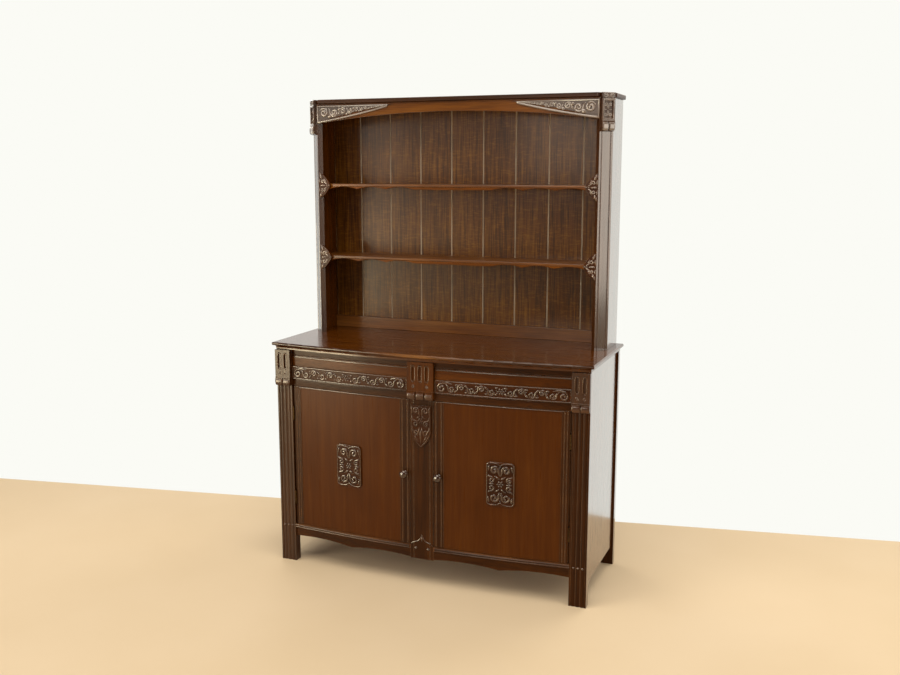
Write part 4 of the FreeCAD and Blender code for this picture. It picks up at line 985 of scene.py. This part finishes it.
# %% Shelf brackets
def bracket(middle):
    up = [volute(528, 15, 8, 200, -1.1, 3.0, lead=[(508, 4), (514, 8)]), leaf(531, 24, 540, 47, 5.0),
          leaf(541, 26, 541, 6, 3.2), leaf(515, 12, 522, 27, 3.0)]
    down = [[(x, -z, half) for x, z, half in stroke] for stroke in up]
    flower = [bead(503, 0, 3.4), bead(511, 0, 3.0), leaf(541, 0, 517, 0, 4.2)]
    return moved(up + down + flower, 0, middle)


UPPER_SHELF, LOWER_SHELF = 1418.6, 1144.8
right = bracket(UPPER_SHELF) + bracket(LOWER_SHELF)
carve("shelf_bracket_carving", right + flip(right), "carcase", depth=0.061, bowed=False, finish=bracket_oak)

# %% [markdown]
# The corbels of the base have flutes with pale rims, rubbed and painted as a highlight, small roundels under
# them and a row of rounded lobes. The flutes themselves are cut in the frame; only what catches the light is
# added here.

# %% Base corbels
POST, FLUTE = 567, 13
FLUTE_TOP, FLUTE_FOOT, FLUTE_HALF = 801, 760, 7.2
ROUNDEL, ROUNDEL_RADIUS, LOBE = 735, 4.6, 700
POST_FACE, MIDDLE_FACE = -0.204, -0.230


def flute_rim(x):
    arc = [math.pi * i / 6 for i in range(7)]
    ring = [(x + FLUTE_HALF * math.cos(a), FLUTE_TOP + FLUTE_HALF * math.sin(a)) for a in arc]
    ring += [(x - FLUTE_HALF * math.cos(a), FLUTE_FOOT - FLUTE_HALF * math.sin(a)) for a in arc]
    return line(ring, 1.4, closed=True, steps=1)


def roundel(x, z):
    turn = [2 * math.pi * i / 12 for i in range(12)]
    ring = [(x + ROUNDEL_RADIUS * math.cos(a), z + ROUNDEL_RADIUS * math.sin(a)) for a in turn]
    return [line(ring, 1.5, closed=True, steps=1), bead(x, z, 1.8)]


posts = [side * POST + shift for side in (-1, 1) for shift in (-FLUTE, FLUTE)]
corbels = (("post", posts, posts, POST_FACE), ("middle", (-26, 0, 26), (-26, 26), MIDDLE_FACE))
for name, flutes, rounds, ground in corbels:
    rings = [stroke for x in rounds for stroke in roundel(x, ROUNDEL)]
    carve(name + "_corbel_carving", rings, "carcase", depth=ground, bowed=False)
    carve(name + "_corbel_flute_rims", [flute_rim(x) for x in flutes], "carcase", depth=ground, bowed=False,
          finish=rubbed_highlit_edge)
rolled = {"body": "carcase", "bowed": False, "height": 0.32, "finish": bead_oak, "sides": 14}
post_lobes = [roll(side * POST + shift, LOBE, 29, 12.5) for side in (-1, 1) for shift in (-15.5, 15.5)]
carve("post_corbel_lobes", post_lobes, depth=POST_FACE - 0.0005, **rolled)
middle_lobes = [roll(x, LOBE, 30, 12.5) for x in (-33.5, 0, 33.5)]
carve("middle_corbel_lobes", middle_lobes, depth=MIDDLE_FACE - 0.0005, **rolled)

# %% [markdown]
# Three beads sit at the foot of each front post and two at the foot of the middle upright, under an ogee
# line that rises to a point. They are single pushes of a gouge, so single strokes are enough.

# %% Feet
foot_beads = [bead(side * POST + shift, 140, 5.0) for side in (-1, 1) for shift in (-16, 0, 16)]
carve("post_foot_beads", foot_beads, "carcase", depth=-0.1905, bowed=False)
ogee = line([(1, 190), (5, 176), (16, 165), (30, 160), (43, 152)], 2.6)
foot = [ogee] + flip([ogee]) + [bead(-24, 138, 6), bead(24, 138, 6), leaf(0, 182, 0, 162, 4)]
carve("muntin_foot_carving", foot, "carcase", depth=-0.218, bowed=False)
